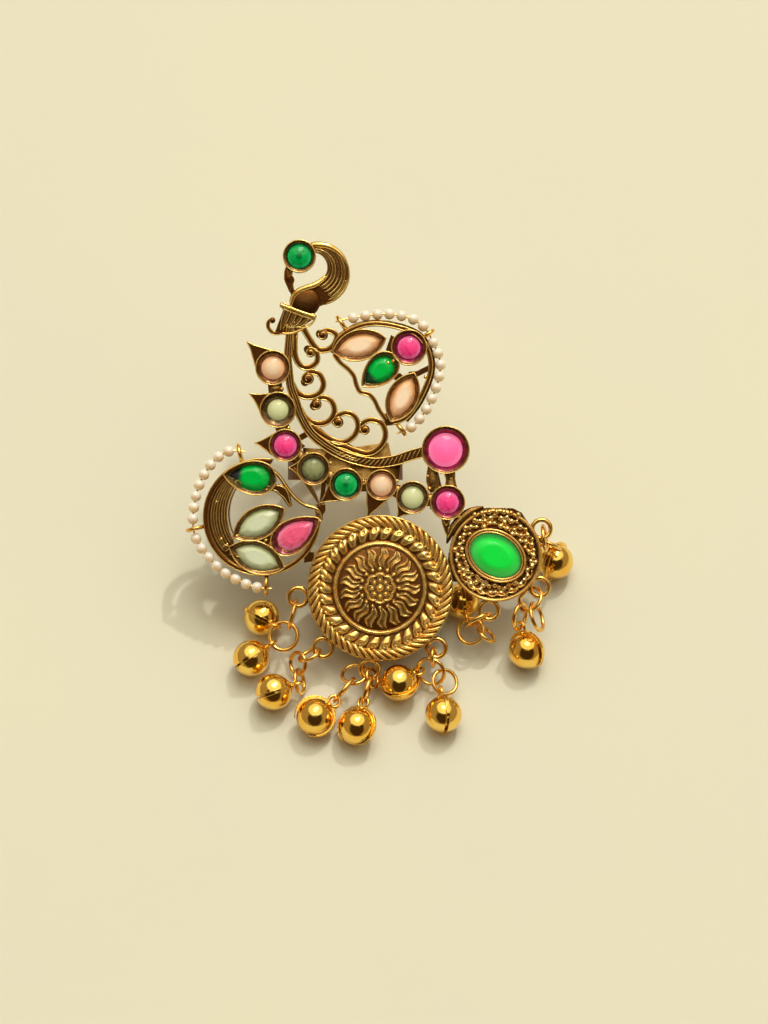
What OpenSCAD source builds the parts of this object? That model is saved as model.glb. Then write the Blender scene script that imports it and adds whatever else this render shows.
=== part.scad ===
// Folk ghungroo ring: a cast and soldered plate of scrolls, leaf settings, a medallion and an
// oval mount on a finger band, with glass stones, two pearl strings, jump rings and round bells.
// Millimetres, +Z up. The origin is on the ground under the middle of the ring's box.
// Plate places are (u, v): u runs right and v up the face, both from the medallion's centre,
// and w stands out of the face.

/* [Resting place] */
// Angle of the plate above the ground
plate_tilt = 28; // [20:1:35]
// Height of the medallion's centre above the ground
medal_lift = 12; // [10:0.5:16]
// Distance of the medallion's centre right of the origin
origin_u = -0.26; // [-5:0.01:5]
// Distance of the medallion's centre behind the origin
origin_y = -15.7; // [-25:0.01:0]

/* [Plate] */
// Depth of the plate's back behind its middle plane
back_w = 0.9; // [0.6:0.05:1.2]
// Width of the scroll wire
scroll_wire = 1.2; // [0.7:0.05:1.4]
// Height of the scroll wire's face
scroll_top = 0.55; // [0.3:0.05:0.8]
// Height of the stem and of the outline wires
stem_top = 0.85; // [0.5:0.05:1.1]
// Thickness of the rim around a setting
collet_rim = 0.45; // [0.3:0.05:0.6]
// Height of a setting's rim
collet_top = 1.45; // [1.1:0.05:1.8]
// Height of the seat under a stone
seat_w = -0.1; // [-0.4:0.05:0.2]
// Clearance between a stone and its setting
stone_gap = 0.1; // [0.05:0.01:0.15]

/* [Finger band] */
// Inner diameter of the band
finger_d = 21; // [18:0.1:22]
// Thickness of the band
band_wall = 1.2; // [0.8:0.1:1.6]
// Width of the band along the finger
band_w = 4.5; // [3:0.5:6]
// Width of the opening that lets the band be pinched smaller
band_opening = 4; // [1:0.5:5]
// Place of the band's middle across the plate
band_u = -7.1; // [-8:0.1:-6]
// Place of the band's middle up the plate
band_v = 24; // [23.5:0.1:25]

/* [Medallion] */
// Radius of the medallion
medal_r = 14.5; // [14:0.1:15]
// Number of strands in the rope border
rope_count = 56; // [40:1:64]
// Number of leaves in the outer ring
leaf_count = 40; // [30:1:48]
// Number of rays around the flower
ray_count = 24; // [16:1:28]
// Number of petals of the flower
petal_count = 8; // [6:1:10]

/* [Oval mount] */
// Radius of the mount around the oval stone
mount_r = 9.3; // [9:0.1:9.6]
// Length of the oval stone
oval_l = 10.8; // [9.5:0.1:11]
// Width of the oval stone
oval_w = 8.0; // [7:0.1:8.4]
// Slope of the oval stone's long axis
oval_turn = -31; // [-40:1:0]

/* [Left disc] */
// Radius of the disc's rim
disc_r = 11.8; // [11.5:0.1:12]
// Width of the disc's rim wire
disc_wire = 1.1; // [0.8:0.1:1.4]

/* [Pearls] */
// Diameter of a pearl
pearl_d = 2.18; // [1.8:0.01:2.2]
// Diameter of the hole drilled through a pearl
pearl_hole = 0.8; // [0.5:0.05:0.8]
// Diameter of the pearls' wire
pearl_wire = 0.36; // [0.3:0.02:0.4]

/* [Bells] */
// Radius of a bell's rim, which is its widest part
bell_rim_r = 4.19; // [3.8:0.01:4.19]
// Radius of a bell's shell
bell_r = 3.7; // [3.4:0.05:4]
// Thickness of a bell's shell
bell_wall = 0.5; // [0.3:0.05:0.7]
// Width of the slot that lets the sound out
bell_slot = 0.7; // [0.4:0.05:1]
// Middle radius of a bell's loop
bell_loop_r = 1.1; // [1:0.05:1.2]
// Distance of the loop's middle from the bell's middle
bell_loop_at = 4.85; // [4.5:0.05:5]
// Radius of the wire of a bell's loop
bell_loop_wire = 0.34; // [0.2:0.02:0.36]
// Radius of the wire of a jump ring
link_wire = 0.4; // [0.2:0.02:0.44]

/* [Hidden] */
$fn = 48;
t_cos = cos(plate_tilt);
t_sin = sin(plate_tilt);
gold = "#d9a520";
emerald = "#0d9a4a";
bright_green = "#14e060";
pink = "#ff4f97";
peach = "#f6cfa6";
pale_green = "#c9d6a0";
grey_green = "#8d9a70";
mint = "#c6dcc0";
ivory = "#f3ece0";

// The band's lowest corners touch the ground at the front edge of the opening.
band_r = finger_d / 2 + band_wall;
band_low_w = -(medal_lift + (band_v - band_w / 2) * t_sin) / t_cos;
band_c_w = band_low_w + sqrt(pow(band_r, 2) - pow(band_opening / 2, 2));

// Small round settings along the row: place, radius of the stone, radius of the setting,
// and the leaf tip that stands out of it.
//        u      v     stone  collet  tip u  tip v
ROW = [
    [-21.4, 44.0, 2.30, 3.5, -26.6, 49.2],
    [-20.4, 35.6, 2.10, 3.6, -26.2, 38.9],
    [-18.9, 28.5, 2.25, 3.3, -25.1, 29.0],
    [-13.3, 23.8, 2.30, 3.3, -18.3, 24.1],
    [-6.8, 20.7, 2.20, 3.3, -12.0, 17.0],
    [0.3, 20.6, 2.20, 3.1, -2.6, 14.0],
    [6.5, 18.1, 2.20, 3.3, 3.4, 13.9],
    [13.5, 17.1, 2.25, 3.5, 13.2, 12.4],
];
// Solder joints from one setting to the next and to the stem: two ends and the width.
JOINTS = [
    [[-21, 40.8], [-20.8, 38.6], 2.8],
    [[-19.6, 32.4], [-19.2, 31.2], 2.8],
    [[-17, 26.6], [-15.6, 25.4], 3],
    [[-10.6, 22.4], [-9.4, 21.8], 2.8],
    [[-3.9, 20.6], [-2.5, 20.6], 2.6],
    [[3, 19.6], [3.8, 19.2], 2.6],
    [[9.4, 17.8], [10.4, 17.6], 2.6],
    [[-18.6, 43.4], [-17.8, 43.2], 1.4],
    [[-17.2, 35.9], [-16, 35.7], 1.3],
    [[-16.2, 29.9], [-14.2, 31], 1.2],
    [[-10.9, 25.8], [-9.7, 27.4], 1.2],
    [[-5.6, 23.6], [-5, 25.2], 1.2],
    [[11.8, 20.2], [11, 23.4], 1.1],
    [[14.4, 20.2], [14, 23], 1.1],
];
// Leaf shaped settings: place, length and width of the stone, length and width of the setting,
// slope, and how pointed the blunt end is (1 for a pointed leaf, 0 for a round pear).
//        u      v     stone l  w    collet l  w   slope  leaf
LEAVES = [
    [-4.1, 48.5, 9.2, 4.6, 11.2, 6.3, 14, 1],
    [-0.2, 43.3, 6.9, 4.7, 9.2, 6.2, 222, 0],
    [4.5, 38.1, 8.8, 4.6, 11.0, 6.3, 64, 1],
    [-26.0, 22.1, 8.0, 5.2, 10.8, 7.0, 174, 0],
    [-24.2, 13.0, 9.3, 4.9, 12.0, 6.5, 29, 1],
    [-24.6, 6.1, 9.2, 4.8, 12.0, 6.5, -21, 1],
    [-16.8, 10.8, 8.2, 5.0, 11.2, 6.8, 34, 0],
];
// Scrolls, each from its root on the stem to the ball at its end.
SCROLLS = [
    [[-17.2, 50.5], [-17, 46.6], [-15.9, 44.5], [-14.1, 44.1], [-12.6, 45.3], [-12.8, 47.2], [-14.4, 47.7]],
    [[-17.6, 41], [-16.5, 39], [-14.5, 38.2], [-12.3, 38.8], [-11.3, 40.6], [-12, 42.6], [-13.8, 43.2],
        [-15.1, 42.2], [-15, 41.2]],
    [[-16, 35.8], [-14.7, 33.8], [-12.3, 32.8], [-10.1, 33.5], [-9.1, 35.5], [-9.8, 37.4], [-11.5, 38.1],
        [-13, 37.4], [-13.2, 36.4]],
    [[-12.4, 31.6], [-10.2, 29.9], [-7.8, 29.1], [-5.6, 30], [-4.4, 32.1], [-5, 34.2], [-6.8, 35],
        [-8.5, 34.3], [-8.8, 33.2]],
    [[-7.2, 28.9], [-4.6, 27.3], [-2.1, 26.9], [0.1, 28.3], [1.1, 30.5], [0.4, 32.8], [-1.7, 33.6],
        [-3.4, 33], [-3.7, 31.8]],
    [[-15.6, 52.4], [-12.9, 48.1], [-10.7, 47.6], [-9.2, 48.7], [-8.7, 50.5], [-10.4, 51.5], [-12, 50.8]],
];
STEM = [[-17.9, 52.6], [-18.4, 46.5], [-18.2, 43.4], [-17.8, 40.1], [-16.8, 37.2], [-15.9, 34.5],
    [-14, 31.2], [-11.6, 29], [-8.6, 27.1], [-5, 25.7], [-1, 25], [3, 25.5], [6.4, 26.6], [9.6, 27.4]];
// Outline wires of the upper cluster.
UPPER_OUTER = [[-9.4, 46.9], [-8.2, 49.9], [-4.9, 52], [-1.2, 52.8], [3, 52.3], [6.8, 51], [8.9, 49],
    [10, 46], [10, 43], [8.8, 39.6], [7.2, 36.6], [5, 33.9], [2.4, 33]];
UPPER_INNER = [[-9.2, 46.8], [-8, 45.1], [-6.3, 43.7], [-5.2, 42.3], [-4.7, 40.5], [-3.9, 39.2],
    [-2.2, 38.7], [-1.1, 37.5], [-0.2, 35.6], [1.2, 33.6]];
// Beak and crest lines beside the left disc.
DISC_BEAK = [[-22.6, 20], [-20.4, 19.9], [-18.9, 18.6], [-17.9, 16.2]];
DISC_LINE = [[-22.4, 24.4], [-20.2, 22.4], [-18.4, 19.8], [-16.9, 18], [-15, 16.6], [-13, 16],
    [-11.9, 15.2], [-11.8, 13.6]];
// Lines of the two pearl wires.
PEARLS_UPPER = [[-8.9, 53.2], [-8.1, 53.5], [-5.4, 54], [-3.2, 54.4], [-0.9, 54.7], [1.5, 54.8],
    [4, 54.5], [6.3, 53.9], [8.6, 52.4], [9.8, 50.8], [10.7, 49], [11.6, 46.9], [12.1, 44.7],
    [11.8, 42.3], [11.2, 40], [10.4, 38], [9.4, 35.9], [8, 33.9], [6.5, 32.3], [5.2, 31.7], [3.4, 30.9]];
PEARLS_LEFT = [[-27, 27.2], [-28.2, 27.5], [-30.3, 27.3], [-32.2, 26.3], [-33.8, 24.7], [-35.1, 22.8],
    [-36.1, 20.8], [-36.8, 18.5], [-37.2, 16.2], [-37.4, 13.8], [-37.3, 11.8], [-36.7, 9.7], [-35.5, 7.7],
    [-34, 5.9], [-32.5, 4.3], [-30.8, 2.9], [-28.9, 1.8], [-27, 0.9], [-24.8, 0.2], [-22.7, -0.1],
    [-21.7, -0.1]];
// How far along its wire each run of pearls starts, how many pearls it has, and their distance.
//             start count step
RUNS_UPPER = [[3.65, 7, 2.44], [22.15, 9, 2.355]];
RUNS_LEFT = [[3.3, 8, 2.31], [23.45, 8, 2.305]];
// Loops that carry the pearl wires: place, middle radius, direction in which they stand out.
//    u      v      r    turn
EYES = [
    [-7.65, 52.9, 1.5, 125],
    [9.6, 50.75, 1.25, 35],
    [4.2, 31.8, 1.3, 307],
    [-28, 26.9, 1.7, 104],
    [-36.9, 11.9, 1.6, 194],
    [-22.75, 0.55, 1.7, 268],
];
// Loops cast on the rims for the bells.
//            u      v
LOOPS = [
    [-16.4, -1.8],
    [-11.4, -11.9],
    [-2.1, -16.2],
    [11.3, -12],
    [21.8, -4.4],
    [31.9, 0.2],
    [32.3, 11.8],
];
loop_r = 1.85;
loop_wire = 0.42;
eye_wire = 0.33;

// Bells: middle, direction of the loop, turn of the rim about that direction.
//        u      v      w      loop u  v      w     turn
BELLS = [
    [-23.800, -6.000, -5.644, 0.5644, -0.3173, 0.7621, -177.42],
    [-25.800, -14.100, -1.337, 0.8211, 0.5708, -0.0041, 173.01],
    [-21.200, -20.700, 2.172, 0.9434, 0.3196, -0.0889, -1.14],
    [-12.900, -25.400, 4.671, 0.7820, 0.5998, -0.1696, -92.42],
    [-4.600, -27.300, 5.682, 0.2641, 0.9396, -0.2177, -119.14],
    [3.800, -18.900, 1.215, 0.7997, 0.4591, -0.3869, -136.17],
    [12.600, -25.000, 4.459, -0.1102, 0.8669, -0.4861, 14.79],
    [29.400, -12.600, -2.135, -0.2604, 0.9616, 0.0866, -133.16],
    [35.600, 5.200, -11.599, -0.1988, 0.5070, 0.8387, -49.43],
    [16.600, -2.800, -7.345, 0.1533, -0.6926, 0.7049, 172.36],
];
// Links: middle, middle radius, and the direction that the ring faces.
//        u      v      w     r     face u  v    w
LINKS = [
    [-17.484, -5.309, -0.860, 3.0, 0.9642, -0.2651, 0.0076],
    [-19.305, -9.676, -1.268, 2.8, -0.1225, 0.1256, 0.9845],
    [-16.422, -15.113, -0.994, 2.2, 0.7171, 0.0047, -0.6970],
    [-16.095, -18.709, -0.611, 2.4, 0.9377, 0.1542, 0.3114],
    [-14.076, -13.378, 0.143, 2.2, 0.4014, -0.8656, -0.2993],
    [-5.087, -17.258, 0.279, 2.5, -0.1211, 0.6907, 0.7130],
    [-7.145, -20.245, 2.779, 3.0, 0.7609, -0.6459, 0.0616],
    [-2.519, -20.351, 3.054, 2.9, 0.9488, -0.2987, 0.1033],
    [10.741, -13.748, 0.779, 1.8, 0.9792, -0.0279, 0.2011],
    [10.147, -16.722, 0.198, 2.8, 0.3354, 0.3660, -0.8681],
    [12.964, -18.758, 0.957, 2.5, 0.3147, 0.2883, 0.9043],
    [19.730, -6.478, -1.334, 2.7, 0.4411, -0.8750, 0.1994],
    [18.225, -8.681, -3.203, 2.6, -0.2510, 0.1459, 0.9569],
    [21.378, -9.364, -3.220, 2.0, 0.5868, 0.7191, 0.3723],
    [30.081, -2.281, -0.166, 2.6, -0.5803, 0.4444, 0.6824],
    [28.016, -5.665, -0.205, 2.6, 0.8590, -0.2025, 0.4703],
    [31.331, -5.745, 0.840, 2.8, 0.8804, 0.2877, 0.3771],
    [33.009, 9.967, -1.491, 2.5, 0.9816, 0.1293, 0.1405],
    [33.852, 8.467, -5.084, 2.5, 0.3368, 0.9257, -0.1720],
    [-1.569, -17.947, 0.616, 1.9, 0.8354, 0.2264, 0.5008],
];

stone_nodes = [
    "stone_head", "stone_row_1", "stone_row_2", "stone_row_3", "stone_row_4", "stone_row_5",
    "stone_row_6", "stone_row_7", "stone_row_8", "stone_big_pink", "stone_upper_1", "stone_upper_2",
    "stone_upper_3", "stone_upper_round", "stone_disc_1", "stone_disc_2", "stone_disc_3",
    "stone_disc_4", "stone_oval"
];
bell_nodes = [for (i = [1:len(BELLS)]) str("bell_", i)];
link_nodes = [for (i = [1:len(LINKS)]) str("link_", i)];
string_nodes = ["pearls_upper", "pearl_wire_upper", "pearls_left", "pearl_wire_left"];

ROW_TINTS = [peach, pale_green, pink, grey_green, emerald, peach, pale_green, pink];
LEAF_TINTS = [peach, emerald, peach, emerald, pale_green, mint, pink];
pearl_lift = 0.25;

// Places of the larger settings.
head_at = [-16.1, 66.3];
big_at = [13.1, 27.6];
round_at = [5.8, 48.05];
disc_at = [-23.6, 14.2];
mount_at = [23.1, 6.5];

// Points of a smooth curve through p, with n steps between two of them.
function spline_at(p, i, t) =
    let (
        a = p[max(i - 1, 0)],
        b = p[i],
        c = p[i + 1],
        d = p[min(i + 2, len(p) - 1)]
    )
    0.5 * (2 * b + (c - a) * t + (2 * a - 5 * b + 4 * c - d) * t * t
        + (3 * b - a - 3 * c + d) * t * t * t);
function smooth(p, n) =
    concat([for (i = [0:len(p) - 2]) for (k = [0:n - 1]) spline_at(p, i, k / n)], [p[len(p) - 1]]);
function unit(a) = a / norm(a);
function side(p, i) =
    let (d = unit(p[min(i + 1, len(p) - 1)] - p[max(i - 1, 0)]))
    [-d[1], d[0]];
// Outline of a ribbon along p that goes from width a to width b.
function ribbon(p, a, b) =
    let (n = len(p) - 1, w = [for (i = [0:n]) (a + (b - a) * i / n) / 2])
    concat([for (i = [0:n]) p[i] + side(p, i) * w[i]],
        [for (i = [n:-1:0]) p[i] - side(p, i) * w[i]]);
// Ribbon that swells from a point at each end to width a in the middle.
function swell(p, a, thin) =
    let (n = len(p) - 1, w = [for (i = [0:n]) (thin + (a - thin) * sin(180 * i / n)) / 2])
    concat([for (i = [0:n]) p[i] + side(p, i) * w[i]],
        [for (i = [n:-1:0]) p[i] - side(p, i) * w[i]]);
function arc(c, r, from, to, n) =
    [for (k = [0:n]) let (a = from + (to - from) * k / n) c + r * [cos(a), sin(a)]];
// Teardrop of radius r whose tip is at distance l from the middle, along +X.
function teardrop(r, l, n) =
    let (a = acos(r / l))
    concat(arc([0, 0], r, a, 360 - a, n), [[l, 0]]);
// Outline of a leaf with two points, or of a pear with one point at +X.
function leaf(l, w, n) =
    let (r = (l * l + w * w) / (4 * w), a = asin(l / 2 / r))
    concat(arc([0, w / 2 - r], r, 90 - a, 90 + a, n),
        [for (k = [1:n - 1]) let (b = 270 - a + 2 * a * k / n) [0, r - w / 2] + r * [cos(b), sin(b)]]);
function pear(l, w, n) =
    [for (k = [0:n - 1]) let (a = 360 * k / n)
        [l / 2 * cos(a), 0.595 * w * sin(a) * pow(abs(sin(a / 2)), 0.6)]];
function outline(l, w, kind, n) = kind == 1 ? leaf(l, w, n) : pear(l, w, 2 * n);
function star(inner, outer, n, full) =
    [for (k = [0:n - 1]) for (j = [[-0.5, inner], [-full / 2, outer], [full / 2, outer]])
        let (a = 360 * (k + j[0]) / n) j[1] * [cos(a), sin(a)]];
function ellipse(l, w, n) = [for (k = [0:n - 1]) [l / 2 * cos(360 * k / n), w / 2 * sin(360 * k / n)]];

// Puts plate places into the resting ring's own frame.
module on_plate() {
    translate([origin_u, origin_y, medal_lift]) rotate([plate_tilt, 0, 0]) children();
}
module slab(low, high) {
    translate([0, 0, low]) linear_extrude(high - low) children();
}
// Turns +Z to the direction d.
module aim(d) {
    rotate([0, acos(unit(d)[2]), atan2(d[1], d[0])]) children();
}

// Round setting: a cup with a thin rim and a sloping inner wall down to the stone.
module cup(at, r, top) {
    translate([at[0], at[1], -back_w]) cylinder(r = r, h = back_w + top);
}
module cup_hollow(at, r, stone_r, top) {
    translate([at[0], at[1], seat_w]) cylinder(r = stone_r + stone_gap, h = 5);
    translate([at[0], at[1], 0.5]) cylinder(r1 = stone_r + stone_gap, r2 = r - collet_rim, h = top - 0.5);
    translate([at[0], at[1], top]) cylinder(r = r - collet_rim, h = 3);
}

module scroll_wires() {
    for (s = SCROLLS) {
        slab(-0.6, scroll_top) polygon(ribbon(smooth(s, 4), scroll_wire, scroll_wire * 0.8));
        end = s[len(s) - 1];
        translate([end[0], end[1], -0.55]) cylinder(r = 0.85, h = 0.5 + scroll_top + 0.15);
    }
}

module stem() {
    slab(-0.8, stem_top) polygon(ribbon(smooth(STEM, 3), 1.5, 2.2));
    slab(-0.75, stem_top - 0.1) polygon(ribbon([[-16.8, 53.4], [-16.9, 50], [-16.9, 47.6]], 1.0, 0.8));
}

// Neck of the bird's head, a crescent with ribs along it, and the head with its beak.
neck_c = [-12.3, 62.8];
neck_in_c = [-13.6, 64.1];
module neck() {
    slab(-0.8, 0.7) polygon(concat(arc(neck_c, 6.3, -84, 120, 28), arc(neck_in_c, 3.05, 118, -78, 20)));
    for (k = [0:4]) {
        slab(0.5, 1.05) polygon(swell(arc(neck_in_c + (neck_c - neck_in_c) * (k + 0.5) / 4.6,
            3.35 + 0.64 * k, -70 + 2 * k, 106, 18), 0.42, 0.16));
    }
}
module head() {
    translate([-15, 57.2, -0.85]) cylinder(r = 2.9, h = 1.9);
    slab(-0.75, 0.75) polygon([[-15.9, 54.6], [-9.6, 57.4], [-10.6, 60.2], [-14.2, 60.4]]);
    slab(-0.7, 1.25) polygon(ribbon([[-19.9, 56.7], [-16.6, 55.4], [-12.8, 54.1]], 1.0, 1.0));
    slab(-0.65, 0.8) polygon([[-19.2, 56], [-13.2, 53.9], [-16.4, 51.6], [-19.4, 50.9], [-21, 51.1]]);
    for (k = [0:3]) {
        slab(0.7, 1.1) polygon(ribbon([[-18.4 + 1.5 * k, 55.6 - 0.5 * k], [-19.4 + 0.9 * k, 52]], 0.5, 0.3));
    }
    slab(-0.6, 0.65) polygon(ribbon(smooth([[-19.4, 51.5], [-21, 51], [-22.2, 51.9], [-22.3, 53.2],
        [-21.4, 53.8]], 3), 0.8, 0.6));
    slab(-0.7, 0.95) polygon([for (q = teardrop(1.0, 2.5, 12)) [-18.1, 61.6] + [q[1], -q[0]]]);
    slab(-0.6, 0.6) polygon([[-18.9, 64.6], [-17.4, 64.6], [-17.6, 61], [-18.6, 61]]);
    slab(-0.6, 0.6) polygon([[-18.4, 60.2], [-17.4, 60.2], [-16.2, 58], [-17.4, 57.6]]);
}

module row_settings() {
    for (s = ROW) {
        cup([s[0], s[1]], s[3], collet_top);
        turn = atan2(s[5] - s[1], s[4] - s[0]);
        reach = norm([s[4] - s[0], s[5] - s[1]]);
        slab(-0.8, 0.95) translate([s[0], s[1]]) rotate(turn) polygon([[s[3] * 0.5, s[3] * 0.8],
            [reach * 0.62, 1.3], [reach * 0.8, 0.6], [reach, 0], [reach * 0.8, -0.6],
            [reach * 0.62, -1.3], [s[3] * 0.5, -s[3] * 0.8]]);
    }
    slab(-0.8, 0.8) polygon([[-17, 27], [-14.9, 28.4], [-17, 30]]);
    for (j = JOINTS) {
        slab(-0.7, 0.7) polygon(ribbon([j[0], j[1]], j[2], j[2]));
    }
}

module leaf_settings() {
    for (s = LEAVES) {
        slab(-back_w, collet_top - 0.1) translate([s[0], s[1]]) rotate(s[6])
            polygon(outline(s[4], s[5], s[7], 10));
    }
}
module leaf_hollows() {
    for (s = LEAVES) {
        translate([s[0], s[1], 0]) rotate(s[6]) {
            slab(seat_w, 4) polygon(outline(s[2] + 2 * stone_gap, s[3] + 2 * stone_gap, s[7], 10));
            slab(0.8, 4) polygon(outline(s[4] - 2.4 * collet_rim, s[5] - 2 * collet_rim, s[7], 10));
        }
    }
}

module upper_cluster() {
    slab(-0.85, 1.1) polygon(ribbon(smooth(UPPER_OUTER, 3), 0.95, 0.95));
    slab(-0.8, 1.0) polygon(ribbon(smooth(UPPER_INNER, 3), 0.95, 0.95));
    // Strip behind the pearls, along the outline.
    strip = [for (i = [1:11]) UPPER_OUTER[i] + 0.55 * unit(UPPER_OUTER[i] - [0, 43])];
    slab(-0.95, -0.72) polygon(ribbon(smooth(strip, 3), 0.8, 0.8));
    slab(-0.7, 0.75) polygon([[2.2, 50.6], [3.4, 50], [1.6, 45.4], [0.6, 46]]);
    slab(-0.65, 0.7) polygon([[0.6, 34.9], [3.2, 34.9], [3, 32.6], [1, 32.4]]);
    slab(-0.7, 0.72) polygon([[5.6, 43.2], [7.4, 43.4], [9.8, 44.6], [9.8, 43.4], [7, 42]]);
    slab(-0.7, 0.68) polygon([[2.4, 42.2], [4, 43], [5.2, 42], [3.6, 41]]);
}

module left_disc() {
    slab(-0.85, 1.15) {
        difference() {
            translate(disc_at) circle(disc_r);
            translate(disc_at) circle(disc_r - disc_wire);
            polygon([[-20.5, 26.8], [-17.4, 24.4], [-10.8, 14.4], [-12.6, 15.4], [-13.6, 16.4],
                [-23, 23.2]]);
        }
    }
    // Ribbed crescent inside the rim.
    slab(-0.8, 0.65) {
        difference() {
            translate(disc_at) circle(disc_r - disc_wire / 2);
            translate([-20.3, 14.9]) circle(10.6);
        }
    }
    for (k = [0:5]) {
        c = disc_at + ([-20.3, 14.9] - disc_at) * (k + 0.6) / 6.2;
        rib = arc(c, disc_r - 1.4 - 0.17 * k, 128 + 1.5 * k, 222 - 2 * k, 18);
        slab(0.5, 1.0) polygon(swell(rib, 0.4, 0.16));
    }
    slab(-0.75, 0.9) polygon(swell(smooth(DISC_BEAK, 4), 2, 0.5));
    slab(-0.7, 0.7) polygon(ribbon(smooth(DISC_LINE, 3), 0.7, 0.7));
    slab(-0.7, 0.7) polygon([[-25.4, 11.2], [-20, 12.4], [-19.2, 9.6], [-24.4, 8.2]]);
    slab(-0.75, 0.75) polygon([[-15, 7.4], [-13.2, 7.2], [-13.2, 5.4], [-15.2, 5]]);
    slab(-0.65, 0.6) polygon(ribbon([[-11.2, 21.2], [-11.8, 15.2]], 0.9, 0.9));
    slab(-0.7, 0.95) polygon([[-12.9, 16.8], [-10.9, 16.8], [-10.9, 15.4], [-11.4, 14.6]]);
}

// Medallion: turned steps, with slanted strands, leaves, rays and a flower raised on them.
module medal_body() {
    rotate_extrude($fn = 96) polygon([[0, 1.2], [8.3, 0.6], [13, -0.1], [13.2, -1.2], [medal_r - 0.3, -1.2],
        [medal_r, -0.9], [medal_r, 0.9],
        [medal_r - 0.35, 1.25], [12.4, 1.3], [12.3, 1.1], [9.4, 1.5], [9.3, 2.1], [8.6, 2.15], [8.5, 1.75],
        [3.9, 2.35], [3.15, 2.4], [0, 2.6]]);
}
module raised(low, high, profile) {
    intersection() {
        rotate_extrude($fn = 96) polygon(profile);
        slab(low, high) children();
    }
}
module medallion() {
    medal_body();
    raised(0.6, 3, [[12.5, 0.5], [12.5, 1.5], [13, 1.7], [13.9, 1.7], [medal_r - 0.1, 1.4],
        [medal_r - 0.1, 0.5]]) {
        for (k = [0:rope_count - 1]) {
            a = 360 * k / rope_count;
            polygon([12.2 * [cos(a), sin(a)], 12.2 * [cos(a + 2.6), sin(a + 2.6)],
                14.9 * [cos(a + 14), sin(a + 14)], 14.9 * [cos(a + 11.4), sin(a + 11.4)]]);
        }
    }
    raised(0.7, 3, [[9.8, 0.9], [9.8, 1.6], [11, 1.75], [12.1, 1.35], [12.1, 0.7]]) {
        polygon(star(10.1, 12.3, leaf_count, 0.35));
    }
    raised(1.2, 4, [[3.6, 1.3], [3.6, 2.5], [6, 2.35], [8, 2], [8, 1.3]]) {
        polygon(star(4.6, 8.1, ray_count, 0.16));
    }
    slab(2, 2.9) polygon(star(1.7, 2.7, petal_count, 0.5));
    translate([0, 0, 2.7]) sphere(r = 0.75);
}

module oval_mount() {
    translate(mount_at) {
        translate([0, 0, -back_w]) cylinder(r = mount_r, h = back_w + 0.5);
        slab(-0.8, 0.45) polygon([[-5.6, 6.8], [-4.6, 9.1], [-1.6, 9.6], [3.4, 9.5], [5.2, 8.6],
            [7.4, 5.2]]);
        slab(0.3, 1.2) difference() {
            circle(mount_r - 0.05);
            circle(mount_r - 0.75);
        }
        slab(0.2, 1.9) rotate(oval_turn) polygon(ellipse(oval_l + 2, oval_w + 2, 36));
        slab(-0.7, 0.4) polygon([[-9.8, -5], [-7, -5.4], [-7, 1], [-9.4, 0.6]]);
        for (k = [0:21]) {
            translate([7.55 * cos(360 * k / 22), 7.55 * sin(360 * k / 22), 0.5]) sphere(r = 0.62);
        }
        for (k = [0:6]) {
            translate([-4.2 + 1.45 * k, 8.75 - 0.13 * pow(k - 3, 2) / 2, 1.1]) sphere(r = 0.58);
        }
    }
}
module oval_hollow() {
    translate(mount_at) slab(seat_w, 4) rotate(oval_turn)
        polygon(ellipse(oval_l + 2 * stone_gap, oval_w + 2 * stone_gap, 36));
}

module finger_band() {
    translate([band_u, band_v, band_c_w]) rotate([90, 0, 0]) difference() {
        cylinder(r = band_r, h = band_w, center = true, $fn = 96);
        cylinder(r = finger_d / 2, h = band_w + 1, center = true, $fn = 96);
        translate([-band_opening / 2, -band_r - 1, -band_w]) cube([band_opening, band_r, 2 * band_w]);
    }
    // Base plate soldered across the back of the stem and the row, and the band's seat on it.
    slab(-1.5, -0.78) polygon([[-15.6, 24.4], [-15.4, 28.1], [-9, 27.6], [-1.2, 28.8], [1.7, 29.1],
        [2.2, 26.6], [4.2, 25], [3.8, 21.8], [-13.2, 21.8]]);
    translate([band_u - 3.4, band_v - 2.1, -2.6]) cube([6.8, 4.2, 1.4]);
}

module ring_loops() {
    for (s = LOOPS) {
        translate([s[0], s[1], 0]) rotate_extrude($fn = 48)
            translate([loop_r, 0]) circle(loop_wire, $fn = 24);
    }
}
module pearl_eyes() {
    for (s = EYES) {
        translate([s[0], s[1], 0]) rotate([90, 0, s[3]])
            rotate_extrude($fn = 48) translate([s[2], 0]) circle(eye_wire, $fn = 24);
    }
}

module frame() {
    color(gold) on_plate() difference() {
        union() {
            union() {
                union() {
                    finger_band();
                    medallion();
                    oval_mount();
                }
                union() {
                    left_disc();
                    leaf_settings();
                    upper_cluster();
                }
                ring_loops();
            }
            union() {
                union() {
                    row_settings();
                    scroll_wires();
                    stem();
                }
                neck();
                head();
                cup(head_at, 3.3, collet_top);
                cup(big_at, 4.8, 2);
                cup(round_at, 3.6, collet_top);
                pearl_eyes();
            }
        }
        cup_hollow(head_at, 3.3, 2.35, collet_top);
        cup_hollow(big_at, 4.8, 3.4, 2);
        cup_hollow(round_at, 3.6, 2.3, collet_top);
        for (s = ROW) {
            cup_hollow([s[0], s[1]], s[3], s[2], collet_top);
        }
        leaf_hollows();
        oval_hollow();
    }
}

// Round glass: a straight girdle under a low dome.
module cabochon(at, r, dome) {
    curve = (r * r + dome * dome) / (2 * dome);
    on_plate() translate([at[0], at[1], seat_w + stone_gap]) {
        cylinder(r = r, h = 0.55);
        intersection() {
            translate([0, 0, 0.5]) cylinder(r = r, h = dome + 0.05);
            translate([0, 0, 0.55 + dome - curve]) sphere(r = curve, $fn = 96);
        }
    }
}
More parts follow.
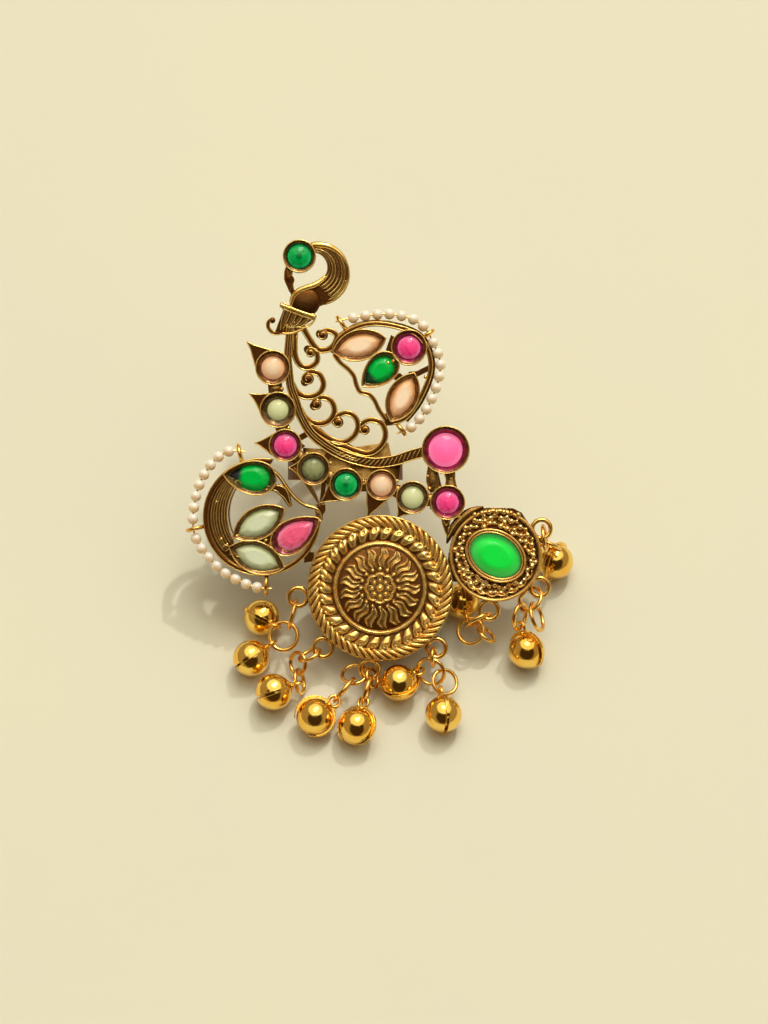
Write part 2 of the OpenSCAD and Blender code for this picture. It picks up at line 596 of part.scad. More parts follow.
// Cut glass: a flat back, a girdle, sloping facets and a flat table.
module cut_glass(at, turn, base, high) {
    n = len(base);
    girdle = 0.5;
    points = concat([for (q = base) [q[0], q[1], 0]], [for (q = base) [q[0], q[1], girdle]],
        [for (q = base) [q[0] * 0.58, q[1] * 0.55, high]]);
    faces = concat([[for (i = [0:n - 1]) i]],
        [for (i = [0:n - 1]) [i, n + i, n + (i + 1) % n, (i + 1) % n]],
        [for (i = [0:n - 1]) [n + i, 2 * n + i, 2 * n + (i + 1) % n, n + (i + 1) % n]],
        [[for (i = [n - 1:-1:0]) 2 * n + i]]);
    on_plate() translate([at[0], at[1], seat_w + stone_gap]) rotate(turn) polyhedron(points, faces);
}
module leaf_stone(s, tint) {
    color(tint) cut_glass([s[0], s[1]], s[6], outline(s[2], s[3], s[7], s[7] == 1 ? 6 : 7), 1.25);
}
module oval_stone() {
    color(bright_green) cut_glass(mount_at, oval_turn, ellipse(oval_l, oval_w, 24), 1.9);
}

// Places at equal steps along a curve, found from the length travelled.
function lengths(p, i = 0, sum = 0) =
    i == len(p) - 1 ? [sum] : concat([sum], lengths(p, i + 1, sum + norm(p[i + 1] - p[i])));
function along(p, s) =
    let (l = lengths(p))
    [for (axis = [0:1]) lookup(s, [for (i = [0:len(p) - 1]) [l[i], p[i][axis]]])];
module pearl_run(line, runs) {
    p = smooth(line, 4);
    color(ivory) on_plate() for (r = runs) {
        for (k = [0:r[1] - 1]) {
            s = r[0] + r[2] * k;
            at = along(p, s);
            d = along(p, s + 0.3) - along(p, s - 0.3);
            translate([at[0], at[1], pearl_lift]) rotate([0, 90, atan2(d[1], d[0])]) difference() {
                sphere(d = pearl_d);
                cylinder(d = pearl_hole, h = pearl_d + 1, center = true);
            }
        }
    }
}
// Wire swept with eight sides along a line in the plate's plane.
module pearl_thread(line) {
    p = smooth(line, 4);
    n = len(p);
    sides = 8;
    points = [for (i = [0:n - 1]) for (k = [0:sides - 1])
        let (s = side(p, i) * cos(360 * k / sides) * pearl_wire / 2)
        [p[i][0] + s[0], p[i][1] + s[1], pearl_lift + sin(360 * k / sides) * pearl_wire / 2]];
    faces = concat([[for (k = [0:sides - 1]) k]],
        [for (i = [0:n - 2]) for (k = [0:sides - 1])
            let (j = i + 1, m = (k + 1) % sides)
            [i * sides + k, j * sides + k, j * sides + m, i * sides + m]],
        [[for (k = [sides - 1:-1:0]) (n - 1) * sides + k]]);
    color(gold) on_plate() polyhedron(points, faces);
}

// Ghungroo bell: two thin half shells closed at a rim, a slot opposite the loop.
module bell(b) {
    d = [b[3], b[4], b[5]];
    color(gold) on_plate() translate([b[0], b[1], b[2]]) aim(d) rotate(b[6]) {
        difference() {
            union() {
                sphere(r = bell_r, $fn = 96);
                rotate([90, 0, 0]) cylinder(r = bell_rim_r, h = 0.6, center = true, $fn = 96);
            }
            sphere(r = bell_r - bell_wall, $fn = 96);
            translate([-bell_r, -bell_slot / 2, -bell_rim_r - 1]) cube([2 * bell_r, bell_slot, 3]);
        }
        translate([0, 0, bell_loop_at]) rotate([90, 0, 0]) rotate_extrude($fn = 48)
            translate([bell_loop_r, 0]) circle(bell_loop_wire, $fn = 24);
    }
}
// Jump ring of round wire.
module link(s) {
    color(gold) on_plate() translate([s[0], s[1], s[2]]) aim([s[4], s[5], s[6]]) rotate_extrude($fn = 48)
        translate([s[3], 0]) circle(link_wire, $fn = 24);
}

frame();
color(emerald) cabochon(head_at, 2.35, 0.8);  // stone_head
color(pink) cabochon(big_at, 3.4, 0.9);  // stone_big_pink
color(pink) cabochon(round_at, 2.3, 0.8);  // stone_upper_round
oval_stone();  // stone_oval
for (i = [0:len(ROW) - 1]) {
    color(ROW_TINTS[i]) cabochon([ROW[i][0], ROW[i][1]], ROW[i][2], 0.8);
}
for (i = [0:2]) {
    leaf_stone(LEAVES[i], LEAF_TINTS[i]);
}
for (i = [0:3]) {
    leaf_stone(LEAVES[i + 3], LEAF_TINTS[i + 3]);
}
pearl_run(PEARLS_UPPER, RUNS_UPPER);  // pearls_upper
pearl_run(PEARLS_LEFT, RUNS_LEFT);  // pearls_left
pearl_thread(PEARLS_UPPER);  // pearl_wire_upper
pearl_thread(PEARLS_LEFT);  // pearl_wire_left
for (i = [0:len(LINKS) - 1]) {
    link(LINKS[i]);
}
for (i = [0:len(BELLS) - 1]) {
    bell(BELLS[i]);
}
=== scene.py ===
import math
import bpy
import numpy as np
from mathutils import Matrix, Vector


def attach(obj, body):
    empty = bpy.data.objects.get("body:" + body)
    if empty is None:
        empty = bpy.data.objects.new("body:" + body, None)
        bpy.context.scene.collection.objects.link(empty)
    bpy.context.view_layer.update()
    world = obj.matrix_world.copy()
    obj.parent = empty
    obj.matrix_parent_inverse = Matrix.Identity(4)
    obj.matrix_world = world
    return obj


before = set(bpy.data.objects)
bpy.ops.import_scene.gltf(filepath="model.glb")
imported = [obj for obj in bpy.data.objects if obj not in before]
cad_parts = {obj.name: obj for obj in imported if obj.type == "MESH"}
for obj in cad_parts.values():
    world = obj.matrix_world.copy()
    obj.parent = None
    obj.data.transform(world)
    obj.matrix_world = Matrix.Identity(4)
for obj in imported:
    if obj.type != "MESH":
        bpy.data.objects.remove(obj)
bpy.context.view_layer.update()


# Cast plate, loops and finger band
# One casting of yellow brass with the band soldered to its back, gold plated and then
# darkened in the recesses. The tops and edges were rubbed bright again.
plate_tilt = math.radians(28)
medal_middle = (-0.26, -15.7, 12.0)  # mm
medal_size = 14.6  # mm, radius inside which height is taken over the medallion's dome
medal_dome, medal_fall = 1.7, -0.1  # height of the dome's middle in mm, and its change with radius
base_plate_at, base_plate_half = -5.9, 6.5  # mm, middle and half width of the plate behind the stem
plate_up = Vector((0, -math.sin(plate_tilt), math.cos(plate_tilt)))
bright_gold = (1.0, 0.65, 0.2, 1)
rubbed_gold = (0.88, 0.47, 0.11, 1)
dark_patina_and_shade = (0.2, 0.075, 0.014, 1)


def put(tree, kind, values=None, **settings):
    """Adds one node. A value that is another node's output is joined to the socket."""
    node = tree.nodes.new("ShaderNode" + kind)
    for name, value in settings.items():
        setattr(node, name, value)
    for socket, value in (values or {}).items():
        if isinstance(value, bpy.types.NodeSocket):
            tree.links.new(value, node.inputs[socket])
        else:
            node.inputs[socket].default_value = value
    return node


def sums(tree, operation, a, b=0.0, c=0.0, clamp=False):
    return put(tree, "Math", {0: a, 1: b, 2: c}, operation=operation, use_clamp=clamp).outputs[0]


def blend_colours(tree, amount, first, second):
    return put(tree, "Mix", {0: amount, 6: first, 7: second}, data_type="RGBA").outputs[2]


def ramp(tree, value, low, high, to_low=0.0, to_high=1.0):
    return put(tree, "MapRange", {0: value, 1: low, 2: high, 3: to_low, 4: to_high},
               interpolation_type="SMOOTHSTEP").outputs[0]


def fade(tree, value, low, high, first, second):
    """From the first colour to the second while the value goes from low to high."""
    return blend_colours(tree, ramp(tree, value, low, high), first, second)


def noise(tree, spot, scale, detail, **more):
    return put(tree, "TexNoise", {"Vector": spot, "Scale": scale, "Detail": detail, **more}).outputs[0]


def facing(tree, first, second):
    """How far one direction faces the other, 1 when they are the same."""
    return put(tree, "VectorMath", {0: first, 1: second}, operation="DOT_PRODUCT").outputs["Value"]


def feed(tree, shader, values):
    """Joins values that other nodes work out to the shader's sockets."""
    for socket, value in values.items():
        tree.links.new(value, shader.inputs[socket])


def effect(name, inputs, outputs):
    """An empty node group with named sockets, what comes into it, and its last node."""
    tree = bpy.data.node_groups.new(name, "ShaderNodeTree")
    kinds = {"colour": "NodeSocketColor", "value": "NodeSocketFloat", "vector": "NodeSocketVector"}
    for title, kind, start in inputs:
        socket = tree.interface.new_socket(title, in_out="INPUT", socket_type=kinds[kind])
        if start is not None:
            socket.default_value = start
    for title, kind in outputs:
        tree.interface.new_socket(title, in_out="OUTPUT", socket_type=kinds[kind])
    return tree, tree.nodes.new("NodeGroupInput").outputs, tree.nodes.new("NodeGroupOutput")


def finish_material(name, base, plain):
    """A new material with one shader. Values in plain sit on the shader's own sockets."""
    material = bpy.data.materials.new(name)
    material.use_nodes = True
    tree = material.node_tree
    shader = tree.nodes["Principled BSDF"]
    shader.inputs["Base Color"].default_value = base
    for socket, value in plain.items():
        shader.inputs[socket].default_value = value
    return material, tree, shader


def place_on_plate(tree):
    """Place in millimetres across, up and out of the face, from the medallion's middle."""
    spot = put(tree, "TexCoord").outputs["Object"]
    return put(tree, "Mapping", {0: spot, 1: [x / 1000 for x in medal_middle], 2: (plate_tilt, 0, 0),
                                 3: (0.001, 0.001, 0.001)}, vector_type="TEXTURE").outputs[0]


# Antique finish: darker where the casting is low, for its patina and as painted shade; darker on steep walls,
# as painted shade; bright on top and on edges, from rubbed wear and as a painted highlight.
antique_and_painted_light, given, made = effect("antique finish", [
    ("Height", "value", 0.0), ("Low", "value", 0.3), ("High", "value", 1.2), ("Walls", "value", 0.8),
    ("Rough", "value", 0.0), ("Bright", "colour", bright_gold), ("Rubbed", "colour", rubbed_gold),
    ("Dark", "colour", dark_patina_and_shade)], [
    ("Color", "colour"), ("Roughness", "value"), ("Normal", "vector")])
spot = place_on_plate(antique_and_painted_light)
cloud = noise(antique_and_painted_light, spot, 0.7, 3.0)
speck = noise(antique_and_painted_light, spot, 3.5, 4.0, Roughness=0.65)
pits = noise(antique_and_painted_light, spot, 2.4, 4.0, Roughness=0.6)
round_edge = put(antique_and_painted_light, "Bevel", {0: 0.00016}, samples=4).outputs[0]
face = put(antique_and_painted_light, "NewGeometry").outputs["Normal"]
steep = sums(antique_and_painted_light, "ABSOLUTE", facing(antique_and_painted_light, face, tuple(plate_up)))
steep = sums(antique_and_painted_light, "SUBTRACT", 1.0, steep, clamp=True)
edge = ramp(antique_and_painted_light, facing(antique_and_painted_light, face, round_edge), 0.995, 0.90)
level = sums(antique_and_painted_light, "ADD", given["Height"], sums(antique_and_painted_light, "MULTIPLY_ADD", speck, 0.4, -0.2))
low_lying = ramp(antique_and_painted_light, level, given["Low"], given["High"], 1.0, 0.0)
# Painted shade: steep walls and low places are darkened, on top of the patina in the hollows.
patina_and_painted_shade = sums(antique_and_painted_light, "MULTIPLY_ADD", sums(antique_and_painted_light, "MULTIPLY", steep, given["Walls"]),
            ramp(antique_and_painted_light, cloud, 0.25, 0.75, 0.75, 1.1), low_lying, clamp=True)
# The base plate behind the stem stays bright, but for its ends and some tarnish.
across, up, out = put(antique_and_painted_light, "SeparateXYZ", {0: spot}).outputs
above_back = ramp(antique_and_painted_light, out, -0.72, -0.64)
from_middle = sums(antique_and_painted_light, "ABSOLUTE", sums(antique_and_painted_light, "SUBTRACT", across, base_plate_at))
ends = ramp(antique_and_painted_light, from_middle, base_plate_half, base_plate_half + 3.0)
tarnish = sums(antique_and_painted_light, "MAXIMUM", ramp(antique_and_painted_light, cloud, 0.45, 0.7, 0.0, 0.5), ends)
patina_and_painted_shade = sums(antique_and_painted_light, "MULTIPLY", patina_and_painted_shade, sums(antique_and_painted_light, "MAXIMUM", above_back, tarnish))
# Edges are lightened and brightened: rubbed wear and a painted highlight.
patina_and_painted_shade = sums(antique_and_painted_light, "SUBTRACT", patina_and_painted_shade, sums(antique_and_painted_light, "MULTIPLY", edge, 0.8), clamp=True)
metal = fade(antique_and_painted_light, cloud, 0.35, 0.7, given["Bright"], given["Rubbed"])
metal = blend_colours(antique_and_painted_light, edge, metal, given["Bright"])
shine = sums(antique_and_painted_light, "MULTIPLY_ADD", patina_and_painted_shade, 0.12, ramp(antique_and_painted_light, speck, 0.3, 0.7, 0.14, 0.26))
shine = sums(antique_and_painted_light, "MULTIPLY_ADD", sums(antique_and_painted_light, "SUBTRACT", 1.0, above_back), 0.2, shine)
shine = sums(antique_and_painted_light, "ADD", shine, given["Rough"])
bumps = put(antique_and_painted_light, "Bump", {"Strength": 0.25, "Distance": 0.0001, "Height": pits, "Normal": round_edge})
feed(antique_and_painted_light, made, {"Color": blend_colours(antique_and_painted_light, patina_and_painted_shade, metal, given["Dark"]), "Roughness": shine,
                     "Normal": bumps.outputs[0]})


def above_plate(tree):
    """Height in millimetres over the plate's middle plane."""
    return put(tree, "SeparateXYZ", {0: place_on_plate(tree)}).outputs[2]


def gilt(name, low, high, walls, height=above_plate, rough=0.0, bright=bright_gold, rubbed=rubbed_gold,
         dark=dark_patina_and_shade, metal=0.92):
    """Plated metal with the antique finish between the two heights: patina, with painted shade in low places
    and on walls and painted highlights on edges.
    """
    material, tree, shader = finish_material(name, bright, {"Metallic": metal})
    colour, roughness, normal = put(tree, "Group", {
        "Height": height(tree), "Low": low, "High": high, "Walls": walls, "Rough": rough, "Bright": bright,
        "Rubbed": rubbed, "Dark": dark}, node_tree=antique_and_painted_light).outputs
    feed(tree, shader, {"Base Color": colour, "Roughness": roughness, "Normal": normal})
    return material


def above_medallion(tree):
    """Height over the plate, or over the dome of the medallion where that rises."""
    across, up, out = put(tree, "SeparateXYZ", {0: place_on_plate(tree)}).outputs
    squares = sums(tree, "ADD", sums(tree, "MULTIPLY", across, across), sums(tree, "MULTIPLY", up, up))
    from_middle = sums(tree, "SQRT", squares)
    dome = sums(tree, "MULTIPLY", sums(tree, "LESS_THAN", from_middle, medal_size),
                sums(tree, "MULTIPLY_ADD", from_middle, medal_fall, medal_dome))
    return sums(tree, "SUBTRACT", out, dome)


def finish_node(name, material):
    """Gives a carried-over solid its material."""
    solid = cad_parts[name]
    solid.data.materials.clear()
    solid.data.materials.append(material)


# The low flats are dark: patina and painted shade.
plate_metal = gilt("antique gilt plate", 0.95, 1.7, 0.8, above_medallion, dark=(0.13, 0.045, 0.008, 1))
finish_node("frame", plate_metal)


# Medallion face
# The relief struck in the middle disc: a rope border, a ring of leaves, a wavy sun and a
# flower between plain wires. It is part of the casting, rubbed bright on its crests and dark between them,
# for patina and as painted shade.
strands, leaves, rays, petals, dots = 56, 30, 17, 8, 16
rope_middle, rope_inside, leaf_round, wire_size, dot_ring = 13.3, 12.2, 11.55, 8.95, 3.85  # mm
rings, steps = 96, 896


def rounded(x, width):
    """Crest of a rounded rib of that width, 1 on its line and 0 beside it."""
    return np.sqrt(np.clip(1 - (x / width) ** 2, 0, 1))


def in_room(points):
    """Points given in millimetres on the plate, as places in the room in metres."""
    x, y, z = np.asarray(points, float).T
    c, s = math.cos(plate_tilt), math.sin(plate_tilt)
    return (np.stack([x, y * c - z * s, y * s + z * c], 1) + np.array(medal_middle)) / 1000


def add_object(name, data):
    """Puts a new object into the scene."""
    piece = bpy.data.objects.new(name, data)
    bpy.context.scene.collection.objects.link(piece)
    return piece


def plate_mesh(name, points, faces, material, slot="plated_brass"):
    """Makes one piece from points in plate millimetres. It rides on the ring."""
    mesh = bpy.data.meshes.new(name)
    mesh.from_pydata(in_room(points).tolist(), [], [list(f) for f in faces])
    mesh.polygons.foreach_set("use_smooth", [True] * len(mesh.polygons))
    mesh.materials.append(material)
    mesh.update()
    piece = add_object(name, mesh)
    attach(piece, "root")
    return piece


def ring_faces(rows, columns):
    """Faces of a round sheet of points, row after row from the inside out."""
    faces = []
    for i in range(rows - 1):
        for k in range(columns):
            n = (k + 1) % columns
            faces.append((i * columns + k, (i + 1) * columns + k, (i + 1) * columns + n, i * columns + n))
    return faces


def around(angle, count):
    """Angle from the nearest of that many equal steps round the middle."""
    return (angle + math.pi / count) % (math.tau / count) - math.pi / count


def mark_crests(piece, crest):
    """Stores a value for each point, which the finish reads as a height."""
    marks = piece.data.attributes.new("crest", "FLOAT", "POINT")
    marks.data.foreach_set("value", np.ascontiguousarray(crest, np.float32).reshape(-1))


def crest_height(tree):
    """The value that mark_crests stored."""
    return put(tree, "Attribute", attribute_name="crest").outputs["Fac"]


radius = np.linspace(0.0, 1.0, rings) ** 0.9 * 14.3
radius[0] = 0.02
R, A = np.meshgrid(radius, np.arange(steps) * math.tau / steps, indexing="ij")
ground = np.interp(R, [0, 3.2, 3.6, 6.0, 8.0, 8.5, 9.4, 9.8, 11.0, 12.1, 12.35, 12.5, 14.3],
                   [2.55, 2.52, 2.55, 2.4, 2.05, 1.8, 1.55, 1.65, 1.8, 1.4, 1.2, 1.34, 1.3])
# Rope: long slanted strands that swell in their middle.
lean = np.radians(1.3 + 12.7 * (R - rope_inside) / 2.7)
turn = around(A - lean, strands)
swell = np.clip(1 - ((R - rope_middle) / 1.15) ** 2, 0, 1) ** 0.4
rope = 0.85 * swell * rounded(turn * R, 0.66) * (R > rope_inside)
# Leaves: drops whose round end faces out, each with a nick in it.
turn = around(A + np.radians(2.2) * (R - 11), leaves)
width = np.interp(R, [9.5, 10.1, 11.4, 12.0, 12.35], [0.5, 0.75, 1.18, 1.12, 0.2])
leaf = 0.62 * rounded(turn * R, width) * np.interp(R, [9.5, 9.9, 11.4, 12.1, 12.3], [0, 0.6, 1, 0.8, 0])
leaf -= 0.3 * rounded(np.hypot(turn * R, R - leaf_round), 0.42)
# Sun: broad wavy flames, hollow along their middle, each with a point at both ends.
wave = 0.08 * np.sin((R - 4.4) * math.tau / 3.4)
turn = around(A - wave / 1.5, rays)
width = np.interp(R, [4.0, 5.0, 6.8, 8.0, 8.3], [0.28, 0.72, 1.02, 0.55, 0.14])
flame = 0.66 * rounded(turn * R, width) - 0.52 * rounded(turn * R, 0.6 * width)
flame *= np.interp(R, [4.0, 4.5, 7.6, 8.3], [0, 1, 1, 0])
# Flower: a lobed wire with grains in it, a ring of dots round it and a plain wire round the sun.
lobes = 2.5 + 0.42 * np.abs(np.cos(A * petals / 2)) ** 0.7
flower = [0.85 * rounded(R - lobes, 0.3), rounded(R, 0.8),
          0.7 * rounded(np.hypot(around(A, petals) * R, R - 1.6), 0.5),
          0.5 * rounded(np.hypot(around(A, dots) * R, R - dot_ring), 0.42),
          0.72 * rounded(R - wire_size, 0.42)]
rib = np.maximum.reduce([rope, leaf, flame, *flower])
points = np.stack([R * np.cos(A), R * np.sin(A), ground + rib], -1).reshape(-1, 3)
# Dark between the crests: patina and painted shade; bright crests and edges: rubbed wear and painted
# highlights.
relief_metal = gilt("struck gilt relief", 0.0, 0.45, 0.35, crest_height, 0.05, (1.0, 0.74, 0.25, 1),
                    (1.0, 0.53, 0.1, 1), metal=0.84)
relief = plate_mesh("medallion_face", points, ring_faces(rings, steps), relief_metal)
mark_crests(relief, rib)


# Oval mount face
# A round plate covered with melted grains around a raised oval bezel, with a scalloped line
# near its lower edge and a wire rim. It is one casting with the plate.
mount_middle = np.array([23.1, 6.5])
mount_rim, grained_size, scallop_size = 8.95, 8.7, 7.75  # mm, radii of rim wire, grains and scallops
oval_long, oval_wide, oval_slope = 10.8, 8.0, -31  # mm and degrees


def sweep(path, thickness, sides=8, closed=False, up=(0, 0, 1), rise=1.0):
    """Points and faces of a round wire along a line. Its thickness may change along it."""
    path = np.asarray(path, float)
    count = len(path)
    thick = np.broadcast_to(np.asarray(thickness, float), (count,))[:, None]
    ahead = np.roll(path, -1, 0) - np.roll(path, 1, 0) if closed else np.gradient(path, axis=0)
    ahead /= np.linalg.norm(ahead, axis=1)[:, None]
    beside = np.cross(np.asarray(up, float), ahead)
    beside /= np.linalg.norm(beside, axis=1)[:, None]
    above = np.cross(ahead, beside)
    rounds = []
    for k in range(sides):
        a = math.tau * k / sides
        rounds.append(path + thick * (beside * math.cos(a) + above * math.sin(a) * rise))
    points = np.stack(rounds, 1).reshape(-1, 3)
    faces = []
    for i in range(count if closed else count - 1):
        j = (i + 1) % count
        for k in range(sides):
            n = (k + 1) % sides
            faces.append((i * sides + k, i * sides + n, j * sides + n, j * sides + k))
    if not closed:
        faces.append(tuple(range(sides))[::-1])
        faces.append(tuple((count - 1) * sides + k for k in range(sides)))
    return points, faces


def ball(middle, size, rows=7, sides=10, flat=1.0):
    """Points and faces of a ball, or of a flattened one."""
    a = np.linspace(0, math.pi, rows + 1)
    b = np.arange(sides) * math.tau / sides
    a, b = np.meshgrid(a, b, indexing="ij")
    points = size * np.stack([np.sin(a) * np.cos(b), np.sin(a) * np.sin(b), flat * np.cos(a)], -1)
    return points.reshape(-1, 3) + middle, ring_faces(rows + 1, sides)


def joined(parts):
    """Points and faces of several shapes as one."""
    points, faces, start = [], [], 0
    for p, f in parts:
        points.append(p)
        faces += [tuple(x + start for x in face) for face in f]
        start += len(p)
    return np.vstack(points), faces


def round_line(middle, size, angles, height):
    """Points at those angles and that distance round a middle."""
    across, up = middle[0] + size * np.cos(angles), middle[1] + size * np.sin(angles)
    return np.stack([across, up, np.full(len(angles), height)], 1)


def circle(middle, size, height, count=48):
    return round_line(middle, size, np.arange(count) * math.tau / count, height)


def arc(middle, size, start, end, height, count=24):
    return round_line(middle, size, np.radians(np.linspace(start, end, count)), height)


def set_at(line, u, v, slope, height):
    """An outline turned by its slope in degrees and set on the plate."""
    c, s = math.cos(math.radians(slope)), math.sin(math.radians(slope))
    return np.stack([u + line[:, 0] * c - line[:, 1] * s, v + line[:, 0] * s + line[:, 1] * c,
                     np.full(len(line), height)], 1)


def oval(half_long, half_wide, height, count=72):
    """An oval line round the mount's middle."""
    a = np.arange(count) * math.tau / count
    line = np.stack([half_long * np.cos(a), half_wide * np.sin(a)], 1)
    return set_at(line, mount_middle[0], mount_middle[1], oval_slope, height)


outer_grains, grain_tries, grain_seed = 22, 4000, 8
grain_rows, grain_columns = 30, 400
A = np.arange(grain_columns) * math.tau / grain_columns
bezel_l, bezel_w = oval_long / 2 + 0.95, oval_wide / 2 + 0.95
turn = A - math.radians(oval_slope)
inner = bezel_l * bezel_w / np.hypot(bezel_w * np.cos(turn), bezel_l * np.sin(turn))
R = inner + (grained_size - inner) * np.linspace(0, 1, grain_rows)[:, None]
X, Y = R * np.cos(A), R * np.sin(A)
chance = np.random.default_rng(grain_seed)
grains = [(7.55 * math.cos(a), 7.55 * math.sin(a), 0.68)  # an even outer row, the rest by chance
          for a in np.arange(outer_grains) * math.tau / outer_grains]
for _ in range(grain_tries):
    a, r = chance.uniform(0, math.tau), chance.uniform(5.2, 8.3)
    size = chance.uniform(0.5, 0.82)
    if r < np.interp(a, A, inner) + 0.4:
        continue
    x, y = r * math.cos(a), r * math.sin(a)
    if all(math.hypot(x - g[0], y - g[1]) > 0.8 * (size + g[2]) for g in grains):
        grains.append((x, y, size))
rib = np.zeros_like(X)
for x, y, size in grains:
    rib = np.maximum(rib, size * 1.15 * rounded(np.hypot(X - x, Y - y), size))
points = np.stack([X + mount_middle[0], Y + mount_middle[1], 0.53 + rib], -1).reshape(-1, 3)
grain_metal = gilt("grained gilt", 0.0, 0.45, 0.3, crest_height, 0.04, (1.0, 0.78, 0.32, 1))
grained = plate_mesh("mount_face", points, ring_faces(grain_rows, grain_columns), grain_metal)
mark_crests(grained, rib)

shapes = [sweep(circle(mount_middle, mount_rim, 1.15, 72), 0.3, closed=True),
          sweep(oval(oval_long / 2 + 0.8, oval_wide / 2 + 0.8, 1.88), 0.24, closed=True),
          sweep(oval(oval_long / 2 + 0.3, oval_wide / 2 + 0.3, 1.9), 0.14, 6, closed=True)]
wavy = scallop_size + 0.42 * np.abs(np.sin(np.linspace(0, 8 * np.pi, 140)))
shapes.append(sweep(arc(mount_middle, wavy, 207, 338, 1.13, 140), 0.17, 8, rise=2.0))
for k in range(12):  # crown of grains on the upper edge
    across, up = -4.9 + 0.86 * k, mount_rim - 0.045 * (k - 5.5) ** 2
    shapes.append(ball((mount_middle[0] + across, mount_middle[1] + up, 0.85), 0.42 + 0.1 * (k % 2), 6, 8))
# The sides of the rims are darkened as painted shade.
rim_metal = gilt("rubbed gold rims", -0.9, 0.4, 0.9, rough=0.06, bright=(1.0, 0.66, 0.19, 1),
                 rubbed=(1.0, 0.5, 0.1, 1), metal=0.78)
plate_mesh("mount_wires", *joined(shapes), rim_metal)


# Rims and leaf tips of the settings
# Each stone sits in a cup with a thin rim. Spikes grow out of the round cups like leaf tips.
# Their edges were drawn in the wax and came out with the casting, so they are rubbed bright.
cups = [  # place, radius of the setting, height of its rim, radius of the stone
    (-21.4, 44.0, 3.5, 1.45, 2.3), (-20.4, 35.6, 3.6, 1.45, 2.1), (-18.9, 28.5, 3.3, 1.45, 2.25),
    (-13.3, 23.8, 3.3, 1.45, 2.3), (-6.8, 20.7, 3.3, 1.45, 2.2), (0.3, 20.6, 3.1, 1.45, 2.2),
    (6.5, 18.1, 3.3, 1.45, 2.2), (13.5, 17.1, 3.5, 1.45, 2.25), (-16.1, 66.3, 3.3, 1.45, 2.35),
    (13.1, 27.6, 4.8, 2.0, 3.4), (5.8, 48.05, 3.6, 1.45, 2.3)]
head_cup, big_cup, round_cup = 8, 9, 10  # the others are the row, in order
tips = [(-26.6, 49.2), (-26.2, 38.9), (-25.1, 29.0), (-18.3, 24.1), (-12.0, 17.0), (-2.6, 14.0), (3.4, 13.9),
        (13.2, 12.4)]
leaf_cups = [  # place, length and width of the stone, of the setting, slope, pointed at both ends
    (-4.1, 48.5, 9.2, 4.6, 11.2, 6.3, 14, True), (-0.2, 43.3, 6.9, 4.7, 9.2, 6.2, 222, False),
    (4.5, 38.1, 8.8, 4.6, 11.0, 6.3, 64, True), (-26.0, 22.1, 8.0, 5.2, 10.8, 7.0, 174, False),
    (-24.2, 13.0, 9.3, 4.9, 12.0, 6.5, 29, True), (-24.6, 6.1, 9.2, 4.8, 12.0, 6.5, -21, True),
    (-16.8, 10.8, 8.2, 5.0, 11.2, 6.8, 34, False)]


def drop_outline(length, width, pointed, count=40):
    """Outline of a leaf, or of a pear with its point at the far end."""
    if pointed:
        r = (length ** 2 + width ** 2) / (4 * width)
        half = math.asin(length / 2 / r)
        a = np.linspace(math.pi / 2 - half, math.pi / 2 + half, count // 2 + 1)
        top = np.stack([r * np.cos(a), width / 2 - r + r * np.sin(a)], 1)
        return np.vstack([top[:-1], -top[:-1]])
    a = np.arange(count) * math.tau / count
    return np.stack([length / 2 * np.cos(a), 0.595 * width * np.sin(a) * np.abs(np.sin(a / 2)) ** 0.6], 1)


def flowing(line, steps_between=6):
    """A smooth curve through the points of a line."""
    p = np.asarray(line, float)
    out = []
    for i in range(len(p) - 1):
        a, b, c, d = p[max(i - 1, 0)], p[i], p[i + 1], p[min(i + 2, len(p) - 1)]
        for t in np.arange(steps_between) / steps_between:
            out.append(0.5 * (2 * b + (c - a) * t + (2 * a - 5 * b + 4 * c - d) * t * t
                              + (3 * b - a - 3 * c + d) * t ** 3))
    out.append(p[-1])
    return np.array(out)


def laid(line, height, thickness, sides=6, rise=1.0):
    """A wire whose middle lies at one height over the plate."""
    line = np.asarray(line, float)
    return sweep(np.hstack([line[:, :2], np.full((len(line), 1), height)]), thickness, sides, rise=rise)


def swelling(count, at, values):
    """Thickness for that many points, given at some of them."""
    return np.interp(np.arange(count), at, values)


edge_gold = gilt("bright edges", -0.9, 0.0, 0.1, bright=(1.0, 0.76, 0.24, 1), rubbed=(1.0, 0.5, 0.08, 1),
                 metal=0.85)
# Dark all over: patina and painted shade.
aged_and_shaded_metal = gilt("aged gilt with painted shade", 1.2, 3.6, 0.2, dark=(0.17, 0.057, 0.008, 1))
shapes = []
for u, v, size, top, _ in cups:
    shapes.append(sweep(circle((u, v), size - 0.1, top), 0.13, 7, closed=True))
for (u, v, size, *_), (tip_u, tip_v) in zip(cups, tips):
    toward = np.array([tip_u - u, tip_v - v])
    reach = np.linalg.norm(toward)
    toward /= reach
    beside = np.array([-toward[1], toward[0]])
    for side in (-1, 1):
        ends = [(size * 0.62, size * 0.72), (reach * 0.62, 1.22), (reach * 0.8, 0.52), (reach, 0)]
        way = flowing([np.array([u, v]) + toward * far + side * beside * off for far, off in ends], 5)
        shapes.append(laid(way, 0.98, np.linspace(0.15, 0.1, len(way))))
for u, v, _, _, long, wide, slope, pointed in leaf_cups:
    line = drop_outline(long - 0.24, wide - 0.2, pointed)
    shapes.append(sweep(set_at(line, u, v, slope, 1.37), 0.14, 7, closed=True))
shapes.append(sweep(circle((0, 0), 14.42, 1.2, 96), 0.16, closed=True))
plate_mesh("setting_rims", *joined(shapes), edge_gold)


